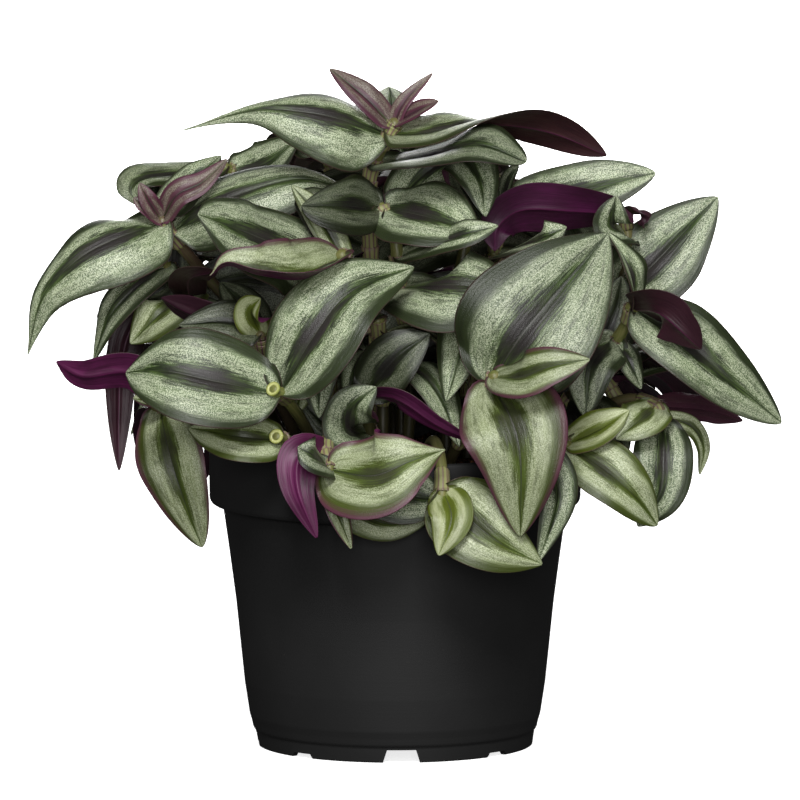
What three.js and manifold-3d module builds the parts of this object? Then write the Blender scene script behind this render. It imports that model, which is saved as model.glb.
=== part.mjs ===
// A trailing house plant with silver-striped leaves in a black nursery pot.
// Millimetres, +Z up, +X to the right and +Y away from the viewer. The origin is the middle of the
// plant's outline on the ground.

import * as THREE from 'three';
import { mergeVertices } from 'three/addons/utils/BufferGeometryUtils.js';
import Module from 'manifold-3d';

const wasm = await Module();
wasm.setup();

// Pot
const POT_SEGMENTS = 28;
const RIM_RADIUS = 60;
const RIM_TOP = 98.5;
const RIM_BOTTOM = 79;
const WALL = 1.4;
const BODY_TOP_RADIUS = 55.5;
const BODY_MIDDLE = { radius: 51.2, height: 46.7 };
const BODY_LOW = { radius: 48.5, height: 20.7 };
const HEEL = { radius: 46.9, height: 10.2 };
const FOOT_RADIUS = 44.4;
const FOOT_FLARE = 0.6;
const FOOT_WALL = 2.2;
const FOOT_HEIGHT = 4.8;
const FLOOR_TOP = 7;
const FOOT_ARCHES = 8;
const BIG_ARCH = { wide: 12.6, high: 4.2, top: 0.74 };
const SMALL_ARCH = { wide: 10, high: 1.5, top: 0.7 };
const ARCH_DEPTH = 10;
const ARCH_TURN = 2.7;
const CUT_BELOW_GROUND = 1;
const DRAIN_HOLES = 6;
const DRAIN_RADIUS = 3.2;
const DRAIN_SIDES = 8;
const DRAIN_CIRCLE = 30;
const RIM_WALL = 2.8;
const RIM_EDGE = 0.8;
const RIM_FILLET = 0.5;
const RIM_LEDGE = { top: 2, bottom: 1 };
const FLOOR_CORNER = 1.4;
const CUT_PAST_FLOOR = 2;

// Soil
const SOIL_EDGE_TOP = 92.6;
const SOIL_MIDDLE_TOP = 94.4;
const SOIL_DOME_RADIUS = 36;
const SOIL_DOME_DROP = 0.5;
const SOIL_OVER_LEDGE = 0.6;
const SOIL_GAP = 0.4;
const FACET_ROOM = 0.2;
const SOIL_SEGMENTS = 20;

// Stems
const STEM_RADIUS = 1.8;
const STEM_SIDES = 4;
const STEM_STEPS = 11;
const STEM_FOOT = 82;
const STEM_UPRIGHT = 97;
const STEM_BELOW_TOP = 90;
const HOLE_RADIUS = STEM_RADIUS + 1.6;
const HOLE_SIDES = 5;
const HOLE_FLOOR = STEM_FOOT - 0.3;

// Leaf blades
const UPRIGHT = new THREE.Vector3(0, 0, 1);
const LINE_TENSION = 0.5;
const WELD_DISTANCE = 1e-4;
const BLADE_THICKNESS = 0.8;
const SHEATH_HALF_WIDTH = 1.3;
const TIP_HALF_WIDTH = 0.3;
const SHEATH_FADE = 4;
const SHOULDER_POWER = 0.55;
const TIP_POWER = 0.85;
const FOLD = 0.3;
const CURL = 0.22;
const TWIST_POWER = 1.5;
const ROWS_BROAD = [0, 0.1, 0.32, 0.6, 0.85, 1];
const ROWS_MEDIUM = [0, 0.12, 0.42, 0.76, 1];
const ROWS_SMALL = [0, 0.3, 0.7, 1];
const ROWS_RULED = [0, 0.12, 0.4, 0.74, 1];
const SMOOTHING = 0.32;
const SCRAP_VOLUME = 5;
const LOWEST_LEAF = 0.35;
const FOOT_PLACES = 100;
const BROAD_FROM = 28;
const MEDIUM_FROM = 15;
const ACROSS_BROAD = [-1, -0.5, 0, 0.5, 1];
const ACROSS_NARROW = [-1, 0, 1];

// A leaf that would touch another stem moves to the first of these places that clears it: bends are
// distances at its tip, swings are degrees round the upright and shares are of its full size.
const CLEARANCE = 0.45;
const OUTER_PART = 0.3;
const NEAR_BEND_WAY = [0, -1, 0.13];
const NEAR_BENDS = [0, 3, -3, 6, -6, 9, -9, 12, -12, 16, -16, 20, -20, 25, -25];
const RULED_BENDS = [0, 5, -5, 10, -10, 16, -16];
const RULED_SWINGS = [0, 15, -15, 30, -30, 45, -45, 65, -65];
const RULED_SHARES = [1, 0.82, 0.66];
const SMALL_LEAF = 14;

// Near side of the plant. Each stem has the place of its root in the soil, the line it follows above
// the soil, and its leaves. A leaf has the line of its midrib, the way its upper face looks, its width
// and, where it differs from the rest, its twist from base to tip in degrees, its fold, its curl and
// how drawn-out its point is. An inner leaf fills the shade behind the others, where it has room.
const NEAR_STEMS = {
  crown: {
    root: [-6, 4],
    line: [[-6, 0, 134], [-8, -4, 161], [-8, -8, 185], [-3, -12, 197], [0, -13, 203]],
    leaves: [
      {
        rib: [[-2, -13, 198], [-17, -20, 205], [-31, -22, 208], [-46, -20, 208], [-68, -14, 201]],
        faces: [0, -0.72, 0.68], wide: 28, fold: 0.1, curl: 0.6, point: 1.7,
      },
      {
        rib: [[-2, -13, 199], [11, -20, 201], [27, -20, 204], [48, -14, 201], [68, -8, 192]],
        faces: [0, -0.55, 0.83], wide: 27, twist: -115,
      },
      {
        rib: [[-5, -9, 188], [11, -28, 194], [27, -38, 199], [42, -42, 194]],
        faces: [0.1, -0.4, 0.9], wide: 27, point: 0.6,
      },
      {
        rib: [[-1, -13, 202], [-8, -14, 210], [-14, -12, 215], [-21, -8, 220]],
        faces: [0.3, -0.8, 0.4], wide: 9, fold: 0.4,
      },
      {
        rib: [[0, -13, 202], [3, -14, 210], [12, -12, 219]],
        faces: [-0.4, -0.8, 0.3], wide: 5, fold: 0.5,
      },
      {
        rib: [[1, -13, 202], [8, -18, 208], [14, -20, 211]],
        faces: [-0.1, -0.6, 0.7], wide: 7, fold: 0.5,
      },
      { rib: [[0, -12, 202], [-1, 6, 206], [-2, 26, 210]], faces: [0, -0.3, 0.95], wide: 15 },
      {
        rib: [[-5, -8, 191], [-14, 10, 199], [-21, 28, 201], [-27, 46, 195]],
        faces: [-0.3, 0.3, 0.9], wide: 25,
      },
      {
        rib: [[-8, -5, 181], [10, 8, 188], [26, 22, 187], [38, 36, 176]],
        faces: [0.3, 0.4, 0.85], wide: 26,
      },
      { rib: [[-8, -8, 183], [-16, 4, 183], [-29, 14, 180]], faces: [0, -0.6, 0.8], wide: 16 },
      {
        rib: [[-6, 0, 134], [-26, 8, 146], [-48, 10, 150], [-70, 10, 145]],
        faces: [0, -1, 0.15], wide: 26, inner: true,
      },
      {
        rib: [[-6, 0, 128], [14, 8, 142], [34, 10, 146], [54, 10, 138]],
        faces: [0, -1, 0.15], wide: 26, inner: true,
      },
      {
        rib: [[-8, -4, 161], [-28, 8, 168], [-52, 10, 168], [-74, 10, 157]],
        faces: [0, -1, 0.15], wide: 26, inner: true,
      },
      {
        rib: [[-8, -3, 154], [12, 10, 166], [32, 12, 168], [50, 12, 160]],
        faces: [0, -1, 0.15], wide: 26, inner: true,
      },
      {
        rib: [[-6, 2, 124], [-4, 12, 140], [-4, 14, 160], [-2, 12, 180]],
        faces: [0, -1, 0.15], wide: 26, inner: true,
      },
      {
        rib: [[-6, 4, 112], [6, 9, 120], [20, 11, 126], [36, 11, 120]],
        faces: [0, -1, 0.15], wide: 26, inner: true,
      },
      {
        rib: [[-6, 4, 118], [-18, 9, 122], [-34, 11, 124], [-48, 11, 116]],
        faces: [0, -1, 0.15], wide: 26, inner: true,
      },
      { rib: [[-8, -4, 172], [-2, 6, 178], [7, 9, 184]], faces: [0, -1, 0.15], wide: 14, inner: true },
    ],
  },
  leftTop: {
    root: [-30, 4],
    line: [[-46, 4, 133], [-60, 0, 151], [-71, -7, 165], [-75, -10, 171]],
    leaves: [
      {
        rib: [[-74, -10, 170], [-86, -20, 168], [-101, -24, 161], [-113, -22, 148], [-118, -18, 129]],
        faces: [-0.3, -0.75, 0.6], wide: 28, fold: 0.1, curl: 0.5, point: 1.3,
      },
      {
        rib: [[-75, -12, 171], [-70, -15, 180], [-62, -14, 184], [-54, -10, 191]],
        faces: [-0.3, -0.8, 0.4], wide: 9, fold: 0.35,
      },
      {
        rib: [[-75, -10, 171], [-79, -16, 178], [-82, -16, 184]],
        faces: [-0.1, -0.8, 0.5], wide: 6, fold: 0.4,
      },
      {
        rib: [[-76, -10, 171], [-80, -14, 176], [-84, -14, 179]],
        faces: [-0.1, -0.7, 0.6], wide: 6, fold: 0.4,
      },
      {
        rib: [[-73, -6, 167], [-63, -8, 173], [-50, -5, 179], [-31, 2, 183], [-15, 8, 179]],
        faces: [0, -0.65, 0.75], wide: 27, fold: 0.1, curl: 0.45,
      },
      { rib: [[-75, -9, 171], [-66, 0, 182], [-56, 7, 190]], faces: [-0.3, -0.6, 0.7], wide: 15 },
      {
        rib: [[-74, -8, 169], [-76, 0, 176], [-77, 6, 184]],
        faces: [0, -0.9, 0.4], wide: 12, inner: true,
      },
    ],
  },
  leftBack: {
    root: [-22, 20],
    line: [[-34, 20, 132], [-44, 26, 163], [-52, 26, 180], [-55, 24, 184]],
    leaves: [
      {
        rib: [[-54, 24, 182], [-70, 14, 183], [-81, 5, 183], [-85, 0, 180], [-83, -2, 175]],
        faces: [-0.1, -0.45, 0.9], wide: 17, point: 1.1,
      },
      { rib: [[-54, 26, 183], [-44, 22, 184], [-31, 18, 194]], faces: [0, -0.65, 0.75], wide: 22 },
      { rib: [[-54, 26, 184], [-47, 44, 185], [-39, 62, 182]], faces: [0, 0.2, 0.9], wide: 9 },
    ],
  },
  leftMiddle: {
    root: [-14, -14],
    line: [[-16, -22, 115], [-14, -28, 138], [-15, -34, 157], [-17, -42, 164]],
    leaves: [
      {
        rib: [[-15, -24, 151], [-31, -36, 163], [-45, -46, 171], [-56, -52, 176], [-63, -57, 179]],
        faces: [-0.1, -0.75, 0.65], wide: 30, fold: 0.15, curl: 0.3,
      },
      {
        rib: [[-18, -42, 162], [-29, -58, 159], [-43, -64, 161], [-53, -64, 164], [-59, -62, 160]],
        faces: [0, -0.45, 0.9], wide: 20, fold: 1.0, curl: 0.1, point: 1.5,
      },
      {
        rib: [[-16, -36, 161], [-24, -34, 175], [-33, -30, 185]],
        faces: [0.1, -0.8, 0.6], wide: 10, fold: 0.3,
      },
      {
        rib: [[-16, -34, 161], [-27, -24, 178], [-19, -22, 177], [-9, -24, 170]],
        faces: [0.1, -0.7, 0.7], wide: 10,
      },
    ],
  },
  cutUpper: {
    root: [-24, -33],
    line: [[-29, -42, 109], [-33, -54, 117], [-36, -60, 121], [-39, -65, 124]],
    leaves: [
      {
        rib: [[-37, -60, 124], [-26, -66, 141], [-14, -62, 155], [6, -48, 161]],
        faces: [-0.25, -0.85, 0.45], wide: 31,
      },
      {
        rib: [[-39, -60, 122], [-58, -68, 127], [-74, -66, 130], [-86, -56, 128]],
        faces: [-0.1, -0.85, 0.5], wide: 33,
      },
    ],
  },
  cutLower: {
    root: [-31, -41],
    line: [[-32, -46, 102], [-35, -52, 105], [-38, -60, 108]],
    leaves: [
      { rib: [[-37, -54, 107], [-50, -60, 108], [-66, -48, 109]], faces: [-0.1, -0.8, 0.6], wide: 19 },
    ],
  },
  leftLow: {
    root: [-44, -12],
    line: [[-53, -15, 103], [-68, -18, 109], [-77, -22, 113]],
    leaves: [
      {
        rib: [[-75, -24, 111], [-73, -33, 101], [-69, -36, 88], [-62, -30, 68]],
        faces: [-0.3, -0.9, 0.3], wide: 22, point: 0.75,
      },
      {
        rib: [[-75, -22, 112], [-80, -28, 115], [-84, -30, 116]],
        faces: [0, -0.6, 0.8], wide: 9, fold: 0.5,
      },
      {
        rib: [[-66, -18, 113], [-84, -13, 122], [-100, -11, 121], [-109, -8, 125]],
        faces: [0, 0.85, 0.5], wide: 14,
      },
    ],
  },
  leftFar: {
    root: [-40, 6],
    line: [[-52, 9, 124], [-66, 7, 143], [-73, 5, 154]],
    leaves: [
      {
        rib: [[-69, 5, 158], [-80, -6, 152], [-91, -10, 141], [-97, -4, 125]],
        faces: [-0.3, -0.6, 0.7], wide: 15,
      },
      { rib: [[-64, 2, 145], [-74, -14, 143], [-85, -16, 132]], faces: [-0.3, -0.7, 0.6], wide: 22 },
      {
        rib: [[-69, 8, 146], [-83, 14, 136], [-88, 12, 123], [-89, 10, 105], [-89, 6, 88]],
        faces: [0.2, 0.9, 0.3], wide: 11,
      },
      { rib: [[-63, 0, 144], [-66, -22, 154], [-57, -34, 158]], faces: [0, 0.7, 0.6], wide: 12 },
      { rib: [[-63, 2, 144], [-59, -20, 143], [-54, -34, 143]], faces: [0, -0.5, 0.8], wide: 14 },
      { rib: [[-71, 6, 153], [-76, 4, 149], [-80, 4, 144]], faces: [0, -0.7, 0.7], wide: 14 },
      { rib: [[-71, 2, 152], [-86, 2, 146], [-96, 3, 138]], faces: [0, -0.8, 0.6], wide: 9, inner: true },
      { rib: [[-69, 5, 150], [-71, 6, 158], [-67, 8, 166]], faces: [0, -1, 0.15], wide: 16, inner: true },
      {
        rib: [[-63, 2, 145], [-68, -2, 138], [-72, -4, 129]],
        faces: [0, -1, 0.15], wide: 14, inner: true,
      },
    ],
  },
  leftInner: {
    root: [-30, -18],
    line: [[-34, -24, 108], [-41, -34, 126], [-43, -44, 139]],
    leaves: [
      {
        rib: [[-43, -44, 140], [-46, -52, 147], [-43, -56, 152]],
        faces: [-0.2, -0.8, 0.4], wide: 11, fold: 0.5,
      },
      { rib: [[-43, -44, 139], [-53, -46, 143], [-69, -46, 142]], faces: [0, -0.8, 0.6], wide: 16 },
      {
        rib: [[-43, -40, 137], [-63, -40, 144], [-75, -40, 150]],
        faces: [0, 0.6, 0.6], wide: 14, fold: 0.5,
      },
      { rib: [[-43, -42, 138], [-49, -36, 147], [-56, -32, 154]], faces: [0, -0.7, 0.7], wide: 14 },
    ],
  },
  centre: {
    root: [4, -10],
    line: [[5, -12, 119], [2, -18, 147], [0, -20, 167], [-4, -16, 176]],
    leaves: [
      {
        rib: [[0, -14, 174], [11, -6, 187], [21, -10, 192], [27, -18, 185], [29, -22, 174]],
        faces: [0.2, -0.8, 0.6], wide: 20,
      },
      { rib: [[-4, -16, 177], [11, -32, 175], [27, -42, 171]], faces: [0.1, -0.8, 0.6], wide: 28 },
      { rib: [[1, -24, 160], [19, -44, 170], [33, -46, 174]], faces: [0, -0.7, 0.7], wide: 13 },
      { rib: [[-4, -14, 174], [-16, -18, 177], [-30, -12, 176]], faces: [0, -0.7, 0.7], wide: 24 },
      {
        rib: [[0, -24, 149], [14, -46, 155], [27, -52, 155], [41, -52, 151]],
        faces: [0.1, -0.75, 0.65], wide: 33, fold: 0.15, curl: 0.35,
      },
    ],
  },
  rightTop: {
    root: [24, 3],
    line: [[24, 5, 117], [30, 8, 143], [33, 8, 166], [35, 8, 174]],
    leaves: [
      {
        rib: [[35, 8, 174], [51, 14, 175], [67, 18, 179], [84, 18, 183]],
        faces: [0, -0.9, 0.4], wide: 20, point: 0.75,
      },
      { rib: [[34, 8, 172], [37, 4, 182], [40, 2, 188]], faces: [-0.5, -0.5, 0.5], wide: 8, fold: 0.5 },
      { rib: [[33, 4, 156], [45, -30, 167], [55, -34, 172]], faces: [0, -0.7, 0.7], wide: 16 },
      { rib: [[33, 8, 167], [24, 4, 179], [17, 0, 190]], faces: [0.2, -0.8, 0.5], wide: 20 },
    ],
  },
  rightBack: {
    root: [32, 14],
    line: [[56, 10, 125], [70, 8, 142], [75, 8, 158], [74, 8, 171]],
    leaves: [
      { rib: [[75, 4, 162], [70, -12, 170], [71, -16, 180]], faces: [0, -0.8, 0.5], wide: 14, fold: 0.5 },
      { rib: [[73, 8, 171], [79, 0, 173], [80, -4, 168]], faces: [0, 0.5, 0.8], wide: 8 },
      {
        rib: [[71, 8, 143], [82, 4, 154], [92, 8, 164], [104, 12, 176]],
        faces: [0, -0.9, 0.45], wide: 28,
      },
      {
        rib: [[71, 8, 171], [57, -6, 174], [41, -11, 175], [33, -15, 170], [32, -15, 162]],
        faces: [0, 0.85, 0.4], wide: 18,
      },
      {
        rib: [[70, 8, 142], [63, 12, 156], [57, 12, 166], [54, 12, 178]],
        faces: [0, -1, 0.15], wide: 20, inner: true,
      },
    ],
  },
  right: {
    root: [39, -4],
    line: [[53, -10, 110], [66, -16, 126], [73, -22, 137], [76, -28, 145]],
    leaves: [
      {
        rib: [[77, -27, 148], [91, -35, 137], [106, -35, 124], [124, -28, 108]],
        faces: [0.3, -0.8, 0.5], wide: 26, point: 0.75,
      },
      {
        rib: [[77, -30, 146], [84, -43, 146], [91, -46, 141], [98, -44, 134]],
        faces: [0.1, 0.8, 0.5], wide: 18,
      },
      {
        rib: [[76, -28, 144], [75, -34, 158], [68, -30, 170]],
        faces: [0.8, -0.5, 0.3], wide: 13, fold: 0.7,
      },
      { rib: [[71, -20, 134], [63, -36, 128], [61, -38, 111]], faces: [0, -0.9, 0.4], wide: 17 },
      { rib: [[71, -20, 134], [75, -28, 128], [79, -28, 119]], faces: [0.4, -0.8, 0.3], wide: 9 },
      {
        rib: [[53, -10, 110], [60, -2, 112], [72, 2, 112], [86, 2, 112]],
        faces: [0, -1, 0.15], wide: 22, inner: true,
      },
      {
        rib: [[66, -16, 126], [68, -6, 134], [71, -2, 142], [73, -2, 152]],
        faces: [0, -1, 0.15], wide: 18, inner: true,
      },
      {
        rib: [[53, -10, 112], [57, -16, 110], [61, -18, 104], [64, -18, 94]],
        faces: [0, -1, 0.15], wide: 22, inner: true,
      },
      {
        rib: [[58, -12, 110], [66, -16, 106], [73, -18, 101], [79, -18, 94]],
        faces: [0, -1, 0.15], wide: 20, inner: true,
      },
    ],
  },
  rightMiddle: {
    root: [18, -32],
    line: [[23, -40, 107], [27, -52, 116], [30, -60, 124], [32, -64, 128]],
    leaves: [
      {
        rib: [[29, -62, 125], [40, -68, 141], [53, -62, 156], [68, -50, 172]],
        faces: [0.15, -0.85, 0.5], wide: 45,
      },
      {
        rib: [[31, -66, 125], [40, -80, 130], [50, -85, 134], [62, -84, 136]],
        faces: [0, -0.85, 0.5], wide: 16, fold: 0.3,
      },
      {
        rib: [[30, -62, 125], [37, -78, 116], [40, -82, 103], [40, -77, 78]],
        faces: [0, -0.95, 0.3], wide: 34,
      },
      {
        rib: [[24, -42, 108], [43, -60, 102], [52, -68, 91], [46, -69, 69]],
        faces: [0.2, -0.9, 0.3], wide: 16,
      },
    ],
  },
  overRim: {
    root: [9, -44],
    line: [[12, -50, 105], [14, -60, 103], [15, -67, 97], [15, -70, 90]],
    leaves: [
      {
        rib: [[15, -68, 92], [23, -73, 84], [33, -75, 76], [47, -69, 68]],
        faces: [-0.1, -0.9, 0.4], wide: 27, point: 0.9,
      },
      { rib: [[15, -69, 92], [18, -76, 84], [14, -77, 72]], faces: [0, -0.95, 0.3], wide: 14 },
    ],
  },
  lowRight: {
    root: [35, -29],
    line: [[42, -36, 107], [50, -42, 107], [55, -46, 103]],
    leaves: [
      {
        rib: [[54, -44, 102], [65, -54, 98], [75, -57, 90], [84, -51, 78]],
        faces: [0.1, -0.85, 0.5], wide: 20, point: 0.75,
      },
      {
        rib: [[56, -44, 103], [66, -50, 109], [75, -50, 115]],
        faces: [0, -0.8, 0.6], wide: 13, fold: 0.5,
      },
    ],
  },
  farRight: {
    root: [48, -10],
    line: [[62, -12, 108], [75, -16, 114], [84, -20, 112], [86, -23, 108]],
    leaves: [
      {
        rib: [[86, -23, 107], [86, -33, 98], [85, -35, 86], [78, -32, 75]],
        faces: [0.1, -0.9, 0.3], wide: 19,
      },
      { rib: [[83, -20, 111], [79, -34, 110], [71, -38, 104]], faces: [0, -0.8, 0.6], wide: 16 },
      {
        rib: [[86, -22, 109], [95, -21, 106], [99, -19, 99], [98, -18, 90]],
        faces: [0.5, -0.8, 0.2], wide: 6,
      },
      { rib: [[84, -18, 111], [99, -12, 110], [112, -8, 106]], faces: [0.1, -0.5, 0.8], wide: 14 },
    ],
  },
  lowFront: {
    root: [-16, -42],
    line: [[-20, -50, 106], [-22, -58, 104], [-21, -66, 98]],
    leaves: [
      {
        rib: [[-20, -66, 98], [-7, -80, 98], [5, -82, 103], [16, -77, 106]],
        faces: [0, -0.85, 0.5], wide: 31, point: 1.3,
      },
      { rib: [[-20, -67, 97], [-19, -75, 88], [-14, -76, 74]], faces: [0.3, -0.9, 0.2], wide: 8 },
      {
        rib: [[-23, -60, 103], [-30, -68, 103], [-31, -73, 93], [-25, -73, 77]],
        faces: [0.1, 0.95, 0.2], wide: 13,
      },
      { rib: [[-21, -68, 101], [-26, -77, 104], [-31, -78, 107]], faces: [0, -0.8, 0.6], wide: 14 },
      { rib: [[-19, -62, 101], [3, -70, 91], [16, -72, 89]], faces: [0, -0.9, 0.4], wide: 22 },
      {
        rib: [[-21, -66, 98], [-14, -69, 87], [-2, -69, 81], [12, -69, 83]],
        faces: [0, -0.95, 0.2], wide: 14,
      },
    ],
  },
  frontInner: {
    root: [-6, -29],
    line: [[-8, -34, 105], [-9, -42, 113], [-10, -47, 120]],
    leaves: [
      {
        rib: [[-8, -38, 102], [-14, -50, 109], [-13, -54, 117], [-6, -53, 123]],
        faces: [0.1, -0.9, 0.4], wide: 18,
      },
      {
        rib: [[-9, -46, 119], [0, -56, 120], [13, -58, 112], [25, -58, 106]],
        faces: [0.1, 0.7, 0.7], wide: 9,
      },
      { rib: [[-10, -46, 119], [0, -52, 132], [11, -52, 140]], faces: [0, -0.9, 0.4], wide: 18 },
      { rib: [[-8, -34, 106], [-20, -40, 108], [-30, -44, 117]], faces: [-0.2, -0.8, 0.5], wide: 14 },
    ],
  },
};

// The rest of the plant follows a rule: tiers of stems that fan out from the soil, each with leaves in
// two ranks. Angles are degrees round the pot from +X towards +Y, lengths are millimetres, and knee,
// reach and root are distances from the middle of the pot.
const RULED_TIERS = [
  {
    name: 'farLow', angles: [4, 34, 62, 90, 118, 146, 176],
    root: 44, knee: 54, reach: 74, rise: 24, end: 12, leaves: 4, long: 54,
  },
  {
    name: 'farMiddle', angles: [-10, 22, 56, 90, 124, 158],
    root: 31, knee: 42, reach: 60, rise: 54, end: 60, leaves: 5, long: 54,
  },
  {
    name: 'farTop', angles: [30, 80, 128],
    root: 18, knee: 22, reach: 36, rise: 76, end: 88, leaves: 5, long: 54,
  },
  {
    name: 'inner', angles: [-150, -96, -50, -16],
    root: 24, knee: 24, reach: 34, rise: 34, end: 42, leaves: 4, long: 38,
  },
];
const SEED = 41;
const LEAFLESS_SHARE = 0.58;
const KNEE_RISE = 0.55;
const STEM_SHAKE = { turn: 8, height: 8 };

// A ruled leaf: how far it swings to its side (in degrees, less towards the stem's end), its length as a
// share of the tier's, its width and droop as shares of its length, each with how far chance adds to
// it. Its line passes the points at `reach` of its length outwards, lifted and then let down.
const LEAF_SWING = { wide: 58, low: 1.1, drop: 0.8, shake: 16 };
const LEAF_LONG = { least: 0.84, more: 0.28, last: 0.75 };
const LEAF_WIDE = { least: 0.46, more: 0.08 };
const LEAF_DROOP = { least: 0.3, more: 0.25, middle: 0.3 };
const LEAF_REACH = [0.34, 0.66, 0.9];
const LEAF_LIFT = [0.1, 0.08, 0.04];
const LEAF_FACES = { out: 0.6, up: 0.8 };

// Seen from the front the ruled leaves stay behind the leaves above: each row is a height in that view
// and the furthest that a leaf may reach to the left and to the right there. On the near side they
// reach less far from the middle of the pot than the leaves above do.
const FRONT_VIEW_RISE = 0.134;
const FRONT_VIEW_PLACES = [0.4, 0.7, 1];
const FRONT_VIEW_MARGIN = 0.7;
const NEAR_REACH = 56;
const FRONT_LIMITS = [
  [55, -48, 44],
  [75, -56, 58],
  [88, -82, 92],
  [100, -86, 95],
  [115, -90, 114],
  [125, -94, 106],
  [135, -108, 98],
  [150, -106, 86],
  [160, -100, 92],
  [172, -78, 94],
  [182, -82, 76],
  [190, -70, 62],
  [198, -52, 34],
  [206, -36, 12],
  [213, 0, 0],
];

// Shared small helpers

function randomSource(seed) {
  let state = seed;
  return () => {
    state = (state * 16807) % 2147483647;
    return state / 2147483647;
  };
}

function vector(values) {
  return new THREE.Vector3(...values);
}

function solidFrom(geometry) {
  geometry.deleteAttribute('normal');
  geometry.deleteAttribute('uv');
  const merged = mergeVertices(geometry, WELD_DISTANCE);
  return new wasm.Manifold(new wasm.Mesh({
    numProp: 3,
    vertProperties: new Float32Array(merged.attributes.position.array),
    triVerts: new Uint32Array(merged.index.array),
  }));
}

function meshFrom(solid, name, material) {
  const mesh = solid.getMesh();
  const geometry = new THREE.BufferGeometry();
  geometry.setAttribute('position', new THREE.BufferAttribute(mesh.vertProperties, 3));
  geometry.setIndex(new THREE.BufferAttribute(mesh.triVerts, 1));
  geometry.computeVertexNormals();
  const result = new THREE.Mesh(geometry, material);
  result.name = name;
  return result;
}

// The one body that the stem and its leaves make: drops scraps and the walls of sealed hollows.
function wholeBody(name, solid) {
  const bodies = solid.decompose().sort((a, b) => b.volume() - a.volume());
  if (bodies.length > 1 && bodies[1].volume() > SCRAP_VOLUME) {
    throw new Error(`a leaf of ${name} isn't on its stem`);
  }
  return bodies[0];
}

function turned(profile, segments) {
  return solidFrom(new THREE.LatheGeometry(profile.map(([r, z]) => new THREE.Vector2(r, z)), segments)
    .rotateX(Math.PI / 2));
}

function upright(radius, bottom, top, sides, x, y) {
  const geometry = new THREE.CylinderGeometry(radius, radius, top - bottom, sides);
  geometry.rotateX(Math.PI / 2);
  geometry.translate(x, y, (top + bottom) / 2);
  return solidFrom(geometry);
}

// Pot

function potShell() {
  const floorBottom = FLOOR_TOP - WALL;
  return turned([
    [0, floorBottom],
    [FOOT_RADIUS - FOOT_WALL, floorBottom],
    [FOOT_RADIUS - FOOT_WALL, 0],
    [FOOT_RADIUS, 0],
    [FOOT_RADIUS + FOOT_FLARE, FOOT_HEIGHT],
    [HEEL.radius, HEEL.height],
    [BODY_LOW.radius, BODY_LOW.height],
    [BODY_MIDDLE.radius, BODY_MIDDLE.height],
    [BODY_TOP_RADIUS, RIM_BOTTOM - RIM_FILLET],
    [RIM_RADIUS - RIM_FILLET, RIM_BOTTOM],
    [RIM_RADIUS, RIM_BOTTOM + RIM_EDGE],
    [RIM_RADIUS, RIM_TOP - RIM_EDGE],
    [RIM_RADIUS - RIM_EDGE, RIM_TOP],
    [RIM_RADIUS - RIM_WALL + RIM_EDGE, RIM_TOP],
    [RIM_RADIUS - RIM_WALL, RIM_TOP - RIM_EDGE],
    [RIM_RADIUS - RIM_WALL, RIM_BOTTOM + RIM_LEDGE.top],
    [BODY_TOP_RADIUS - WALL, RIM_BOTTOM - RIM_LEDGE.bottom],
    [BODY_MIDDLE.radius - WALL, BODY_MIDDLE.height],
    [BODY_LOW.radius - WALL, BODY_LOW.height],
    [HEEL.radius - WALL, HEEL.height + 1],
    [HEEL.radius - WALL - FLOOR_CORNER, FLOOR_TOP],
    [0, FLOOR_TOP],
  ], POT_SEGMENTS);
}

// A tapered opening through the foot ring, narrower at its top.
function footArch({ wide, high, top }, angle) {
  const outline = new THREE.Shape([
    new THREE.Vector2(-wide / 2, -CUT_BELOW_GROUND),
    new THREE.Vector2(wide / 2, -CUT_BELOW_GROUND),
    new THREE.Vector2((wide / 2) * top, high),
    new THREE.Vector2((-wide / 2) * top, high),
  ]);
  const geometry = new THREE.ExtrudeGeometry(outline, { depth: ARCH_DEPTH, bevelEnabled: false });
  geometry.rotateX(Math.PI / 2);
  geometry.translate(0, FOOT_RADIUS + ARCH_DEPTH / 2, 0);
  geometry.rotateZ(angle);
  return solidFrom(geometry);
}

function pot(material) {
  const cuts = [];
  for (let i = 0; i < FOOT_ARCHES; i += 1) {
    const arch = i % 2 === 0 ? BIG_ARCH : SMALL_ARCH;
    const turn = THREE.MathUtils.degToRad(ARCH_TURN);
    cuts.push(footArch(arch, (2 * Math.PI * i) / FOOT_ARCHES + turn));
  }
  for (let i = 0; i < DRAIN_HOLES; i += 1) {
    const angle = (2 * Math.PI * (i + 0.5)) / DRAIN_HOLES;
    cuts.push(upright(DRAIN_RADIUS, 0, FLOOR_TOP + CUT_PAST_FLOOR, DRAIN_SIDES,
      DRAIN_CIRCLE * Math.cos(angle), DRAIN_CIRCLE * Math.sin(angle)));
  }
  return meshFrom(potShell().subtract(wasm.Manifold.union(cuts)), 'pot', material);
}

// Soil

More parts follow.
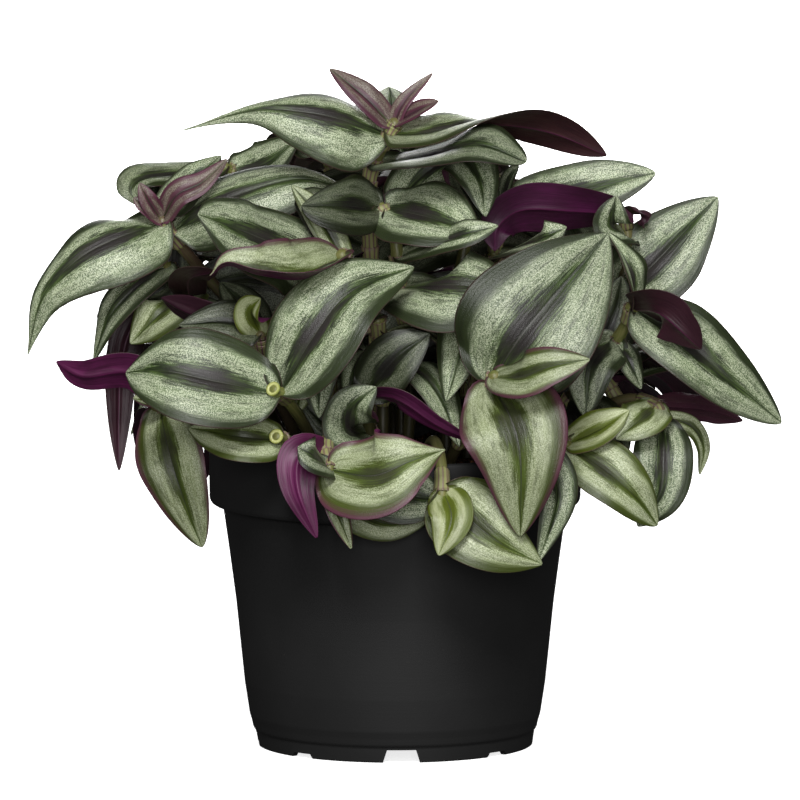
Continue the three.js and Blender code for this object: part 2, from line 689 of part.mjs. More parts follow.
function soil(material, roots) {
  const inset = WALL + SOIL_GAP + FACET_ROOM;
  const edge = RIM_RADIUS - RIM_WALL - SOIL_GAP - FACET_ROOM;
  const plug = turned([
    [0, FLOOR_TOP + SOIL_GAP],
    [HEEL.radius - inset - FLOOR_CORNER, FLOOR_TOP + SOIL_GAP],
    [BODY_LOW.radius - inset, BODY_LOW.height],
    [BODY_MIDDLE.radius - inset, BODY_MIDDLE.height],
    [BODY_TOP_RADIUS - inset, RIM_BOTTOM - RIM_LEDGE.bottom],
    [edge, RIM_BOTTOM + RIM_LEDGE.top + SOIL_OVER_LEDGE],
    [edge, SOIL_EDGE_TOP],
    [SOIL_DOME_RADIUS, SOIL_MIDDLE_TOP - SOIL_DOME_DROP],
    [0, SOIL_MIDDLE_TOP],
  ], SOIL_SEGMENTS);
  const holes = roots.map(([x, y]) => upright(HOLE_RADIUS, HOLE_FLOOR, RIM_TOP, HOLE_SIDES, x, y));
  return meshFrom(plug.subtract(wasm.Manifold.union(holes)), 'soil', material);
}

// Stems and leaves

function smoothLine(points) {
  return new THREE.CatmullRomCurve3(points.map(vector), false, 'catmullrom', LINE_TENSION);
}

// The line of a stem from its foot in the soil to its end.
function stemLine({ root, line }) {
  const [x, y] = root;
  return smoothLine([[x, y, STEM_FOOT], [x, y, STEM_BELOW_TOP], [x, y, STEM_UPRIGHT], ...line]);
}

function stemSolid(stem) {
  const ring = new THREE.Shape();
  for (let i = 0; i < STEM_SIDES; i += 1) {
    const angle = (2 * Math.PI * i) / STEM_SIDES;
    const corner = [STEM_RADIUS * Math.cos(angle), STEM_RADIUS * Math.sin(angle)];
    if (i === 0) {
      ring.moveTo(...corner);
    } else {
      ring.lineTo(...corner);
    }
  }
  return solidFrom(new THREE.ExtrudeGeometry(ring, {
    steps: STEM_STEPS,
    extrudePath: stemLine(stem),
    bevelEnabled: false,
  }));
}

// Half the blade's width at s, 0 at the stem and 1 at the tip: broad shoulders and a drawn-out point.
function halfWidth(s, wide, point = TIP_POWER) {
  const peak = SHOULDER_POWER / (SHOULDER_POWER + point);
  const shape = (s / peak) ** SHOULDER_POWER * ((1 - s) / (1 - peak)) ** point;
  return (wide / 2) * shape + SHEATH_HALF_WIDTH * (1 - s) ** SHEATH_FADE + TIP_HALF_WIDTH * s;
}

// The point of a stem, above the soil, that lies nearest to a place.
function footOn(curve, place) {
  let best = curve.getPoint(LOWEST_LEAF);
  for (let i = 0; i <= FOOT_PLACES; i += 1) {
    const candidate = curve.getPoint(THREE.MathUtils.lerp(LOWEST_LEAF, 1, i / FOOT_PLACES));
    if (candidate.distanceTo(place) < best.distanceTo(place)) {
      best = candidate;
    }
  }
  return best;
}

// The line of a leaf's midrib from its foot on the stem, after the move that clears it.
function midrib({ rib }, foot, { swing = 0, share = 1 }) {
  const points = rib.slice(1).map((point) => vector(point).sub(foot)
    .multiplyScalar(share)
    .applyAxisAngle(UPRIGHT, THREE.MathUtils.degToRad(swing))
    .add(foot));
  return new THREE.CatmullRomCurve3([foot, ...points], false, 'catmullrom', LINE_TENSION);
}

function rowsOf(wide) {
  if (wide >= BROAD_FROM) {
    return ROWS_BROAD;
  }
  return wide >= MEDIUM_FROM ? ROWS_MEDIUM : ROWS_SMALL;
}

// One blade as a closed shell: rows along the midrib, folded up from it and curled down at the margins.
function bladeSolid(leaf, foot, move, { extra = 0, from = 0 } = {}) {
  const { faces, wide, point, twist = 0, fold = FOLD, curl = CURL, ruled = false } = leaf;
  const rows = (ruled ? ROWS_RULED : rowsOf(wide)).map((s) => from + (1 - from) * s);
  const across = wide >= BROAD_FROM && !ruled ? ACROSS_BROAD : ACROSS_NARROW;
  const line = midrib(leaf, foot, move);
  const bendWay = vector(ruled ? faces : NEAR_BEND_WAY).normalize();
  const half = (BLADE_THICKNESS + extra) / 2;
  const tops = [];
  const undersides = [];
  for (const s of rows) {
    const along = line.getTangent(s);
    const up = vector(faces).applyAxisAngle(UPRIGHT, THREE.MathUtils.degToRad(move.swing ?? 0));
    up.addScaledVector(along, -up.dot(along)).normalize();
    up.applyAxisAngle(along, THREE.MathUtils.degToRad(twist) * s ** TWIST_POWER);
    const side = new THREE.Vector3().crossVectors(along, up);
    const middle = line.getPoint(s).addScaledVector(bendWay, move.bend * s);
    const h = halfWidth(s, wide * (move.share ?? 1), point) + extra / 2;
    for (const t of across) {
      const lift = h * (fold * Math.abs(t) - curl * t * t);
      const place = middle.clone().addScaledVector(side, h * t).addScaledVector(up, lift);
      tops.push(place.clone().addScaledVector(up, half));
      undersides.push(place.clone().addScaledVector(up, -half));
    }
  }
  return shellSolid(tops, undersides, rows.length, across.length);
}

// Closes two matching grids of points into one solid. Both are split into triangles the same way.
function shellSolid(tops, undersides, rowCount, columnCount) {
  const count = tops.length;
  const positions = [...tops, ...undersides].flatMap((point) => point.toArray());
  const triangles = [];
  const wall = (a, b) => triangles.push(a, b, b + count, a, b + count, a + count);
  for (let i = 0; i + 1 < rowCount; i += 1) {
    for (let j = 0; j + 1 < columnCount; j += 1) {
      const a = i * columnCount + j;
      const b = a + 1;
      const c = a + columnCount;
      const d = c + 1;
      triangles.push(a, b, d, a, d, c);
      triangles.push(a + count, d + count, b + count, a + count, c + count, d + count);
    }
  }
  for (let i = 0; i + 1 < rowCount; i += 1) {
    const left = i * columnCount;
    const right = left + columnCount - 1;
    wall(left, left + columnCount);
    wall(right + columnCount, right);
  }
  for (let j = 0; j + 1 < columnCount; j += 1) {
    const last = (rowCount - 1) * columnCount + j;
    wall(j + 1, j);
    wall(last, last + 1);
  }
  return new wasm.Manifold(new wasm.Mesh({
    numProp: 3,
    vertProperties: new Float32Array(positions),
    triVerts: new Uint32Array(triangles),
  }));
}

// Stems by rule

function ruledStem(tier, angle, random) {
  const turn = THREE.MathUtils.degToRad(angle + STEM_SHAKE.turn * (random() - 0.5));
  const at = (radius, height) => [radius * Math.cos(turn), radius * Math.sin(turn), height];
  const end = STEM_UPRIGHT + tier.end + STEM_SHAKE.height * (random() - 0.5);
  const line = [
    at(tier.knee, STEM_UPRIGHT + tier.rise * KNEE_RISE),
    at((tier.knee + tier.reach) / 2, STEM_UPRIGHT + tier.rise),
    at(tier.reach, end),
  ];
  const stem = { root: at(tier.root, 0).slice(0, 2), line, leaves: [] };
  const curve = stemLine(stem);
  for (let i = 0; i < tier.leaves; i += 1) {
    const part = (i + 1) / tier.leaves;
    const foot = curve.getPoint(THREE.MathUtils.lerp(LEAFLESS_SHARE, 1, part));
    const rank = i % 2 === 0 ? 1 : -1;
    const spread = LEAF_SWING.wide * (LEAF_SWING.low - LEAF_SWING.drop * part);
    const swing = rank * spread + LEAF_SWING.shake * (random() - 0.5);
    const way = turn + THREE.MathUtils.degToRad(swing);
    const share = LEAF_LONG.least + LEAF_LONG.more * random();
    const long = tier.long * share * (part < 1 ? 1 : LEAF_LONG.last);
    const droop = LEAF_DROOP.least + LEAF_DROOP.more * random();
    const drops = [0, LEAF_DROOP.middle * droop, droop];
    const points = LEAF_REACH.map((reach, k) => [
      foot.x + long * reach * Math.cos(way),
      foot.y + long * reach * Math.sin(way),
      foot.z + long * (LEAF_LIFT[k] - drops[k]),
    ]);
    stem.leaves.push({
      rib: [foot.toArray(), ...points],
      faces: [LEAF_FACES.out * Math.cos(way), LEAF_FACES.out * Math.sin(way), LEAF_FACES.up],
      wide: long * (LEAF_WIDE.least + LEAF_WIDE.more * random()),
      ruled: true,
    });
  }
  return stem;
}

function ruledStems() {
  const random = randomSource(SEED);
  const stems = {};
  for (const tier of RULED_TIERS) {
    tier.angles.forEach((angle, i) => {
      stems[`${tier.name}${i + 1}`] = ruledStem(tier, angle, random);
    });
  }
  return stems;
}

// Whether a leaf stays inside the limits of the front view.
function insideFrontView(leaf, foot, move) {
  const line = midrib(leaf, foot, move);
  const bendWay = vector(leaf.faces).normalize();
  return FRONT_VIEW_PLACES.every((s) => {
    const point = line.getPoint(s).addScaledVector(bendWay, move.bend * s);
    const height = point.z + FRONT_VIEW_RISE * point.y;
    const margin = halfWidth(s, leaf.wide * move.share) * FRONT_VIEW_MARGIN;
    if (point.y < 0 && Math.hypot(point.x, point.y) > NEAR_REACH) {
      return false;
    }
    const next = FRONT_LIMITS.findIndex(([row]) => row > height);
    if (next < 1) {
      return false;
    }
    const [below, above] = [FRONT_LIMITS[next - 1], FRONT_LIMITS[next]];
    const part = (height - below[0]) / (above[0] - below[0]);
    const left = THREE.MathUtils.lerp(below[1], above[1], part);
    const right = THREE.MathUtils.lerp(below[2], above[2], part);
    return point.x - margin > left && point.x + margin < right;
  });
}

// Every place a leaf may move to, nearest its first place first.
function movesOf({ ruled = false, inner = false }) {
  if (ruled) {
    return RULED_SHARES.flatMap((share) => RULED_SWINGS.flatMap((swing) => RULED_BENDS.map((bend) => (
      { bend, swing, share }
    ))));
  }
  const shares = inner ? RULED_SHARES : [1];
  return shares.flatMap((share) => NEAR_BENDS.map((bend) => ({ bend, share })));
}

// Which leaves are placed first: the near ones, then the inner ones, then the ruled ones.
function turnOf({ ruled = false, inner = false }) {
  if (ruled) {
    return 2;
  }
  return inner ? 1 : 0;
}

// Puts every leaf on its stem, moved clear of all that other stems already hold.
function grow(stems, pieces) {
  const held = [];
  const hold = (owner, solid, outer) => held.push({ owner, solid, outer, box: solid.boundingBox() });
  pieces.forEach((solid) => hold(null, solid));
  for (const [name, stem] of Object.entries(stems)) {
    hold(name, stemSolid(stem));
  }
  const apart = (box, other) => box.min.some((value, k) => value > other.max[k] || box.max[k] < other.min[k]);
  const meets = (solid, box, other) => !apart(box, other.box)
    && solid.intersect(other.solid).volume() > 0;
  const fits = (leaf, foot, move, name, ownToo) => {
    if (leaf.ruled && !insideFrontView(leaf, foot, move)) {
      return false;
    }
    const solid = bladeSolid(leaf, foot, move, { extra: 2 * CLEARANCE });
    const box = solid.boundingBox();
    if (held.some((other) => other.owner !== name && meets(solid, box, other))) {
      return false;
    }
    if (!ownToo) {
      return true;
    }
    const outer = bladeSolid(leaf, foot, move, { extra: 2 * CLEARANCE, from: OUTER_PART });
    return !held.some((other) => other.owner === name && other.outer
      && !apart(box, other.box) && outer.intersect(other.outer).volume() > 0);
  };
  const bodies = Object.fromEntries(Object.keys(stems).map((name) => (
    [name, [held.find((item) => item.owner === name).solid]]
  )));
  const queue = Object.entries(stems)
    .flatMap(([name, stem]) => stem.leaves.map((leaf) => ({ name, leaf, curve: stemLine(stem) })))
    .sort((a, b) => turnOf(a.leaf) - turnOf(b.leaf));
  for (const { name, leaf, curve } of queue) {
    const foot = footOn(curve, vector(leaf.rib[0]));
    const moves = movesOf(leaf);
    const mayBeLeftOut = turnOf(leaf) > 0;
    const ownToo = mayBeLeftOut || leaf.wide >= SMALL_LEAF;
    const move = moves.find((item) => fits(leaf, foot, item, name, ownToo))
      ?? (mayBeLeftOut ? undefined : moves.find((item) => fits(leaf, foot, item, name, false)));
    if (!move && !mayBeLeftOut) {
      throw new Error(`a leaf of ${name} at ${leaf.rib[0]} has no room`);
    }
    if (move) {
      const solid = bladeSolid(leaf, foot, move);
      hold(name, solid, bladeSolid(leaf, foot, move, { from: OUTER_PART }));
      bodies[name].push(solid);
    }
  }
  const fused = {};
  for (const [name, solids] of Object.entries(bodies)) {
    fused[name] = wholeBody(name, wasm.Manifold.union(solids)).asOriginal().simplify(SMOOTHING);
  }
  return fused;
}

// Moves every node so that the middle of the whole outline stands over the origin.
function centreOnGround(group) {
  const middle = new THREE.Box3().setFromObject(group).getCenter(new THREE.Vector3());
  group.children.forEach((mesh) => mesh.geometry.translate(-middle.x, -middle.y, 0));
}

function plant() {
  const materials = {
    plastic: new THREE.MeshStandardMaterial({ color: 0x1b1b1c, roughness: 0.55, metalness: 0 }),
    peat: new THREE.MeshStandardMaterial({ color: 0x2c1c14, roughness: 0.95, metalness: 0 }),
    leaf: new THREE.MeshStandardMaterial({ color: 0x6d8566, roughness: 0.45, metalness: 0 }),
  };
  const stems = { ...NEAR_STEMS, ...ruledStems() };
  const potMesh = pot(materials.plastic);
  const soilMesh = soil(materials.peat, Object.values(stems).map((stem) => stem.root));
  const pieces = [potMesh, soilMesh].map((mesh) => solidFrom(mesh.geometry.clone()));
  const fused = grow(stems, pieces);
  const group = new THREE.Group();
  group.name = 'potted_tradescantia';
  group.add(potMesh, soilMesh);
  for (const [name, solid] of Object.entries(fused)) {
    group.add(meshFrom(solid, `stem_${name}`, materials.leaf));
  }
  centreOnGround(group);
  return group;
}

export default plant();
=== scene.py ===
"""A trailing house plant with silver-striped leaves in a black nursery pot.

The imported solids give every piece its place. Each leafy stem, the pot and the soil is replaced by a finer
piece of the same form. Lengths in the tables and classes are millimetres from the pot's axis at ground
level, +Z up, +X to the right and +Y away from the viewer; meshes are written in metres in the frame.
"""

from __future__ import annotations

import logging
import math
from dataclasses import dataclass, field, fields
from enum import Enum, IntEnum
from typing import NamedTuple, Sequence, Union

import bpy
import numpy as np
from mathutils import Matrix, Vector

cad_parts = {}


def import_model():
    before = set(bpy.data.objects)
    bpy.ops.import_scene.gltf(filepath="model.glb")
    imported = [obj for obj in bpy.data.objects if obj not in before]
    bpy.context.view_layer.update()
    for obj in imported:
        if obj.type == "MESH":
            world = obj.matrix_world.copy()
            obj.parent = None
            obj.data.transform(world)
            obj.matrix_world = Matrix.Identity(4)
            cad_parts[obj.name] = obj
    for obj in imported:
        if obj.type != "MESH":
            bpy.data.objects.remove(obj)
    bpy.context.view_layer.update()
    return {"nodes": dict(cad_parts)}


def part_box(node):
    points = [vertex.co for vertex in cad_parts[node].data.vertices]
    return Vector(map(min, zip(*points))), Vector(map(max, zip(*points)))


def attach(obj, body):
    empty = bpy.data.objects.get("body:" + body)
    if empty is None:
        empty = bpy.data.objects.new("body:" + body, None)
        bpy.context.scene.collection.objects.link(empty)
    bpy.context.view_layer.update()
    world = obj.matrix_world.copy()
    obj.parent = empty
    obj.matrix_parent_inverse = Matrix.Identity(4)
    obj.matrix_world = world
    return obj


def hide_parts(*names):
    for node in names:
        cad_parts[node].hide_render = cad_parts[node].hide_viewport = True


Array = np.ndarray
Pair = tuple[float, float]
Point = tuple[float, float, float]
Colour = Point
Socket = bpy.types.NodeSocket
Material = bpy.types.Material
SceneObject = bpy.types.Object
Input = Union[Socket, float, Sequence[float]]

LOG = logging.getLogger("plant")
MM = 0.001
FULL_TURN = 2 * math.pi
UPRIGHT = np.array([0.0, 0.0, 1.0])
FIRST_STEM_SEED = 100
SHORTEST = 1e-12
PATTERN_OFFSET = 90.0
SCREEN_WHITE = 255.0
SCREEN_DARK, SCREEN_DARK_DIVISOR = 0.04045, 12.92
SCREEN_OFFSET, SCREEN_POWER = 0.055, 2.4


# Small shared helpers


def unit(vectors: Array) -> Array:
    """Vectors scaled to length one along their last axis."""
    return vectors / np.maximum(np.linalg.norm(vectors, axis=-1, keepdims=True), SHORTEST)


def turned(vectors: Array, axes: Array, angles: Array) -> Array:
    """Vectors turned about unit axes by angles in radians, by the axis-and-angle formula.

    Args:
        vectors: The vectors, one a row.
        axes: The unit axes, one a row or one for all.
        angles: The angles, one a row or one for all.

    Returns:
        The turned vectors.
    """
    c = np.cos(angles)[..., None]
    s = np.sin(angles)[..., None]
    along = np.sum(vectors * axes, axis=-1, keepdims=True) * axes
    return vectors * c + np.cross(axes, vectors) * s + along * (1 - c)


def paint(red: float, green: float, blue: float) -> Colour:
    """A colour given in screen values of 0 to 255 as the linear values that a shader takes."""
    screen = np.array([red, green, blue]) / SCREEN_WHITE
    curved = ((screen + SCREEN_OFFSET) / (1 + SCREEN_OFFSET)) ** SCREEN_POWER
    linear = np.where(screen <= SCREEN_DARK, screen / SCREEN_DARK_DIVISOR, curved)
    return (float(linear[0]), float(linear[1]), float(linear[2]))


class SmoothLine:
    """A smooth line through given points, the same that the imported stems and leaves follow.

    Each span between two points is a cubic whose end slopes are half the step between their neighbours;
    the first and last step are carried on past the ends.
    """

    measured_steps = 60

    def __init__(self, points: Sequence[Sequence[float]]) -> None:
        """Keeps the points with one more past each end.

        Args:
            points: Two or more points.
        """
        given = np.asarray(points, dtype=float)
        self.knots = np.vstack([2 * given[0] - given[1], given, 2 * given[-1] - given[-2]])
        self.spans = len(given) - 1

    def _spans(self, places: Array) -> tuple[Array, Array, Array, Array, Array]:
        """The two ends, the two end slopes and the part of the way, for places from 0 to 1."""
        along = np.clip(places, 0.0, 1.0) * self.spans
        index = np.minimum(along.astype(int), self.spans - 1)
        before, start, end, after = (self.knots[index + k] for k in range(4))
        return start, end, (end - before) / 2, (after - start) / 2, (along - index)[:, None]

    def points(self, places: Array) -> Array:
        """The points at places from 0 to 1."""
        start, end, slope, last, w = self._spans(places)
        square = -3 * start + 3 * end - 2 * slope - last
        cube = 2 * start - 2 * end + slope + last
        return start + slope * w + square * w**2 + cube * w**3

    def directions(self, places: Array) -> Array:
        """The unit directions at places from 0 to 1."""
        start, end, slope, last, w = self._spans(places)
        square = -3 * start + 3 * end - 2 * slope - last
        cube = 2 * start - 2 * end + slope + last
        return unit(slope + 2 * square * w + 3 * cube * w**2)

    def length(self) -> float:
        """The line's length."""
        steps = np.diff(self.points(np.linspace(0, 1, self.measured_steps)), axis=0)
        return float(np.linalg.norm(steps, axis=1).sum())


class RuleDraw:
    """The seeded draw of numbers from 0 to 1 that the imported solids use."""

    factor = 16807
    limit = 2147483647

    def __init__(self, seed: int) -> None:
        """Starts the draw at a seed."""
        self.state = seed

    def __call__(self) -> float:
        """The next number."""
        self.state = (self.state * self.factor) % self.limit
        return self.state / self.limit


# Meshes as arrays


@dataclass
class Surface:
    """A part of a mesh: its points in millimetres, its faces, and what its finish reads at each point.

    `blade` holds the place across (-1 to 1), the place along (0 to 1) and a chance number. `flow` holds
    millimetres across and along, and a pattern offset. `tone` holds youth, blush and painted shade, and
    `wine` how vivid the underside is.
    """

    points: Array
    quads: Array = field(default_factory=lambda: np.zeros((0, 4), int))
    triangles: Array = field(default_factory=lambda: np.zeros((0, 3), int))
    quad_finish: Array | int = 0
    triangle_finish: Array | int = 0
    blade: Array | Point = (0.0, 0.0, 0.0)
    flow: Array | None = None
    tone: Array | Sequence[float] = (0.0, 0.0, 0.0)
    wine: Array | float = 0.0

    def __post_init__(self) -> None:
        """Carries what is given once to every face or point; the flow is the place where it isn't given."""
        count = len(self.points)
        self.quad_finish = np.broadcast_to(self.quad_finish, (len(self.quads),)).astype(int)
        self.triangle_finish = np.broadcast_to(self.triangle_finish, (len(self.triangles),)).astype(int)
        self.blade = np.broadcast_to(self.blade, (count, 3)).astype(float)
        self.flow = self.points.copy() if self.flow is None else self.flow
        self.tone = np.broadcast_to(self.tone, (count, 3)).astype(float)
        self.wine = np.broadcast_to(self.wine, (count,)).astype(float)

    @staticmethod
    def joined(parts: Sequence[Surface]) -> Surface:
        """One surface that holds every given part."""
        starts = np.cumsum([0] + [len(part.points) for part in parts[:-1]])
        arrays = {
            item.name: np.concatenate([getattr(part, item.name) for part in parts])
            for item in fields(Surface)
        }
        for faces in ("quads", "triangles"):
            arrays[faces] = np.vstack([getattr(part, faces) + start for part, start in zip(parts, starts)])
        return Surface(**arrays)

    def triangle_count(self) -> int:
        """How many triangles the surface has once every quad is cut in two."""
        return 2 * len(self.quads) + len(self.triangles)


def grid_quads(rows: int, columns: int, closed: bool = False) -> Array:
    """Quads of a grid of points that run along each row in turn.

    Args:
        rows: How many rows of points.
        columns: How many points in a row.
        closed: Whether a row's last point is joined to its first.

    Returns:
        Four point numbers a row, facing the way that (columns, then rows) turns.
    """
    row, column = np.meshgrid(
        np.arange(rows - 1), np.arange(columns if closed else columns - 1), indexing="ij"
    )
    a = (row * columns + column).ravel()
    b = (row * columns + (column + 1) % columns).ravel()
    return np.stack([a, b, b + columns, a + columns], axis=1)


def end_fans(rings: int, sides: int) -> Array:
    """Triangles that close a tube of rings, each fanned round a point of its own.

    Args:
        rings: How many rings of points.
        sides: How many points in a ring.

    Returns:
        Three point numbers a row. The first ring's fan meets the point after the last ring, and the last
        ring's fan the one after that.
    """
    side = np.arange(sides)
    following = (side + 1) % sides
    count = rings * sides
    last = count - sides
    start = np.stack([following, side, np.full(sides, count)], axis=1)
    end = np.stack([last + side, last + following, np.full(sides, count + 1)], axis=1)
    return np.vstack([start, end])


def mesh_object(name: str, surface: Surface, finishes: Sequence[Material], origin: Array) -> SceneObject:
    """Writes a surface into a Blender mesh, in metres in the frame.

    Args:
        name: The piece's name.
        surface: The surface, in millimetres from the pot's axis.
        finishes: The materials that the surface's finish numbers count.
        origin: Where the pot's axis meets the ground, in millimetres in the frame.

    Returns:
        The new object, at the origin and unturned.
    """
    mesh = bpy.data.meshes.new(name)
    mesh.vertices.add(len(surface.points))
    mesh.vertices.foreach_set("co", ((surface.points + origin) * MM).astype(np.float32).ravel())
    corners = np.concatenate([surface.quads.ravel(), surface.triangles.ravel()])
    sizes = np.concatenate([np.full(len(surface.quads), 4), np.full(len(surface.triangles), 3)])
    mesh.loops.add(len(corners))
    mesh.loops.foreach_set("vertex_index", corners.astype(np.int32))
    mesh.polygons.add(len(sizes))
    mesh.polygons.foreach_set("loop_start", (np.cumsum(sizes) - sizes).astype(np.int32))
    finish = np.concatenate([surface.quad_finish, surface.triangle_finish])
    mesh.polygons.foreach_set("material_index", finish.astype(np.int32))
    mesh.polygons.foreach_set("use_smooth", np.ones(len(sizes), dtype=bool))
    for key, values in (("blade", surface.blade), ("flow", surface.flow), ("tone", surface.tone)):
        attribute = mesh.attributes.new(key, "FLOAT_VECTOR", "POINT")
        attribute.data.foreach_set("vector", values.astype(np.float32).ravel())
    wine = mesh.attributes.new("wine", "FLOAT", "POINT")
    wine.data.foreach_set("value", surface.wine.astype(np.float32))
    for material in finishes:
        mesh.materials.append(material)
    mesh.update(calc_edges=True)
    mesh.validate()
    piece = bpy.data.objects.new(name, mesh)
    bpy.context.scene.collection.objects.link(piece)
    return piece


# Finishes


class Step(NamedTuple):
    """A smooth step of a value: where it starts and ends, and what it gives before and after."""

    low: float
    high: float
    to_low: float = 0.0
    to_high: float = 1.0


class NodeBench:
    """Lays out the nodes of one finish and joins them to its shader."""

    noise_middle = 0.5
    mix_first, mix_second, mix_result = 6, 7, 2

    def __init__(self, name: str) -> None:
        """Starts a finish of that name."""
        self.material = bpy.data.materials.new(name)
        self.material.use_nodes = True
        self.tree = self.material.node_tree
        self.shader = self.tree.nodes["Principled BSDF"]

    def put(self, socket: Socket, value: Input) -> None:
        """Joins a socket to another, or sets its value."""
        if isinstance(value, Socket):
            self.tree.links.new(value, socket)
        elif isinstance(value, (int, float)):
            socket.default_value = value
        else:
            size = len(socket.default_value)
            socket.default_value = tuple(value) + (1.0,) * (size - len(value))

    def node(self, kind: str, *values: Input, **settings: str) -> bpy.types.Node:
        """Adds a shader node.

        Args:
            kind: Its kind, as Blender names it after "ShaderNode".
            values: What its first sockets are joined or set to.
            settings: Its own settings by name.

        Returns:
            The node.
        """
        node = self.tree.nodes.new(f"ShaderNode{kind}")
        for name, setting in settings.items():
            setattr(node, name, setting)
        for socket, value in zip(node.inputs, values):
            self.put(socket, value)
        return node

    def attribute(self, name: str) -> tuple[Socket, Socket]:
        """An attribute's vector and its number."""
        node = self.node("Attribute", attribute_type="GEOMETRY", attribute_name=name)
        return node.outputs["Vector"], node.outputs["Fac"]

    def parts(self, vector: Socket) -> list[Socket]:
        """The three parts of a vector."""
        return list(self.node("SeparateXYZ", vector).outputs)

    def place(self) -> Socket:
        """The point in the object's own coordinates."""
        return self.node("TexCoord").outputs["Object"]

    def sum(self, operation: str, first: Input, second: Input = 0.0, third: Input = 0.0) -> Socket:
        """One step of arithmetic, named as the Math node names it."""
        return self.node("Math", first, second, third, operation=operation).outputs[0]

    def product(self, *values: Input) -> Input:
        """The values multiplied together."""
        result = values[0]
        for value in values[1:]:
            result = self.sum("MULTIPLY", result, value)
        return result

    def scaled(self, value: Input, by: Input, plus: Input = 0.0) -> Socket:
        """A value times a second one, plus a third."""
        return self.sum("MULTIPLY_ADD", value, by, plus)

    def about_middle(self, value: Input) -> Socket:
        """How far noise or a chance number is from its middle."""
        return self.sum("SUBTRACT", value, self.noise_middle)

    def noise(self, vector: Socket, scale: float, detail: float = 2.0) -> Socket:
        """Smooth noise from about 0.25 to 0.75 at so many lumps for each unit of the vector."""
        node = self.node("TexNoise", vector)
        self.put(node.inputs["Scale"], scale)
        self.put(node.inputs["Detail"], detail)
        return node.outputs["Fac"]

    def drawn_noise(self, vector: Socket, lumps: Point, detail: float = 2.0, scale: float = 1.0) -> Socket:
        """Noise drawn out along a direction: the lumps for each unit of each part of the vector."""
        drawn = self.node("VectorMath", vector, lumps, operation="MULTIPLY")
        return self.noise(drawn.outputs[0], scale, detail)

    def spread(self, value: Input, step: Step) -> Socket:
        """A value carried through a smooth step and held at its ends."""
        return self.node("MapRange", value, *step, interpolation_type="SMOOTHSTEP").outputs[0]

    def ramp(self, value: Input, stops: Sequence[tuple[float, Colour]]) -> Socket:
        """A colour that passes through the stops as the value goes from 0 to 1."""
        node = self.node("ValToRGB", value)
        elements = node.color_ramp.elements
        while len(elements) < len(stops):
            elements.new(0.5)
        for element, (position, colour) in zip(elements, stops):
            element.position = position
            element.color = (*colour, 1.0)
        return node.outputs["Color"]

    def mixed(self, share: Input, first: Input, second: Input, how: str = "MIX") -> Socket:
        """Two colours mixed by a share of the second."""
        node = self.node("Mix", share, data_type="RGBA", blend_type=how)
        self.put(node.inputs[self.mix_first], first)
        self.put(node.inputs[self.mix_second], second)
        return node.outputs[self.mix_result]

    def dimmed(self, colour: Input, by: Input) -> Socket:
        """A colour with each of its parts multiplied by the same value."""
        return self.mixed(1.0, colour, self.node("CombineColor", by, by, by).outputs[0], "MULTIPLY")

    def bump(self, height: Input, distance: float, strength: float, onto: Input | None = None) -> Socket:
        """The normal of a surface raised by a height of 0 to 1 times a distance in metres."""
        node = self.node("Bump", strength, distance)
        self.put(node.inputs["Height"], height)
        if onto is not None:
            self.put(node.inputs["Normal"], onto)
        return node.outputs[0]

    def finish(self, **sockets: Input) -> Material:
        """Sets the shader's sockets, named with underscores for spaces, and gives the material."""
        for name, value in sockets.items():
            self.put(self.shader.inputs[name.replace("_", " ")], value)
        return self.material


class LeafBench(NodeBench):
    """A bench with what every part of a leaf's upper face reads.

    `lens` is how wide the dark band at the midrib is: it is widest in the leaf's lower half. The distance
    from the midrib, shaken by three noises drawn out along the leaf, gives `past_lens`, which counts from
    the lens's edge, and `outwards`, which is more on one side of the leaf.
    """

    def __init__(self, finish: LeafUpper) -> None:
        """Reads the leaf's attributes, makes its noises and works out the distances.

        Args:
            finish: The sizes of the bands and of the noises.
        """
        super().__init__("leaf_upper")
        self.across, self.along, self.chance = self.parts(self.attribute("blade")[0])
        self.youth, self.blushed, self.shaded = self.parts(self.attribute("tone")[0])
        self.flow = self.attribute("flow")[0]
        self.far = self.sum("ABSOLUTE", self.across)
        self.broad = self.drawn_noise(self.flow, finish.broad_lumps, 3.0)
        self.streak = self.drawn_noise(self.flow, finish.streak_lumps)
        self.patch = self.drawn_noise(self.flow, finish.patch_lumps, 3.0)
        self.threads = self.drawn_noise(self.flow, finish.thread_lumps)
        self.grain = self.noise(self.place(), finish.grain_per_metre, 1.0)
        foot, tip = self.spread(self.along, finish.lens_foot), self.spread(self.along, finish.lens_tip)
        self.lens = self.product(foot, tip)
        shaken = self.scaled(self.about_middle(self.broad), finish.broad_shake, self.far)
        shaken = self.scaled(self.about_middle(self.streak), finish.streak_shake, shaken)
        shaken = self.scaled(self.about_middle(self.grain), finish.grain_shake, shaken)
        self.past_lens = self.scaled(self.lens, -finish.lens_half, shaken)
        sided = self.product(self.across, self.about_middle(self.chance))
        self.outwards = self.scaled(sided, finish.one_sided, shaken)


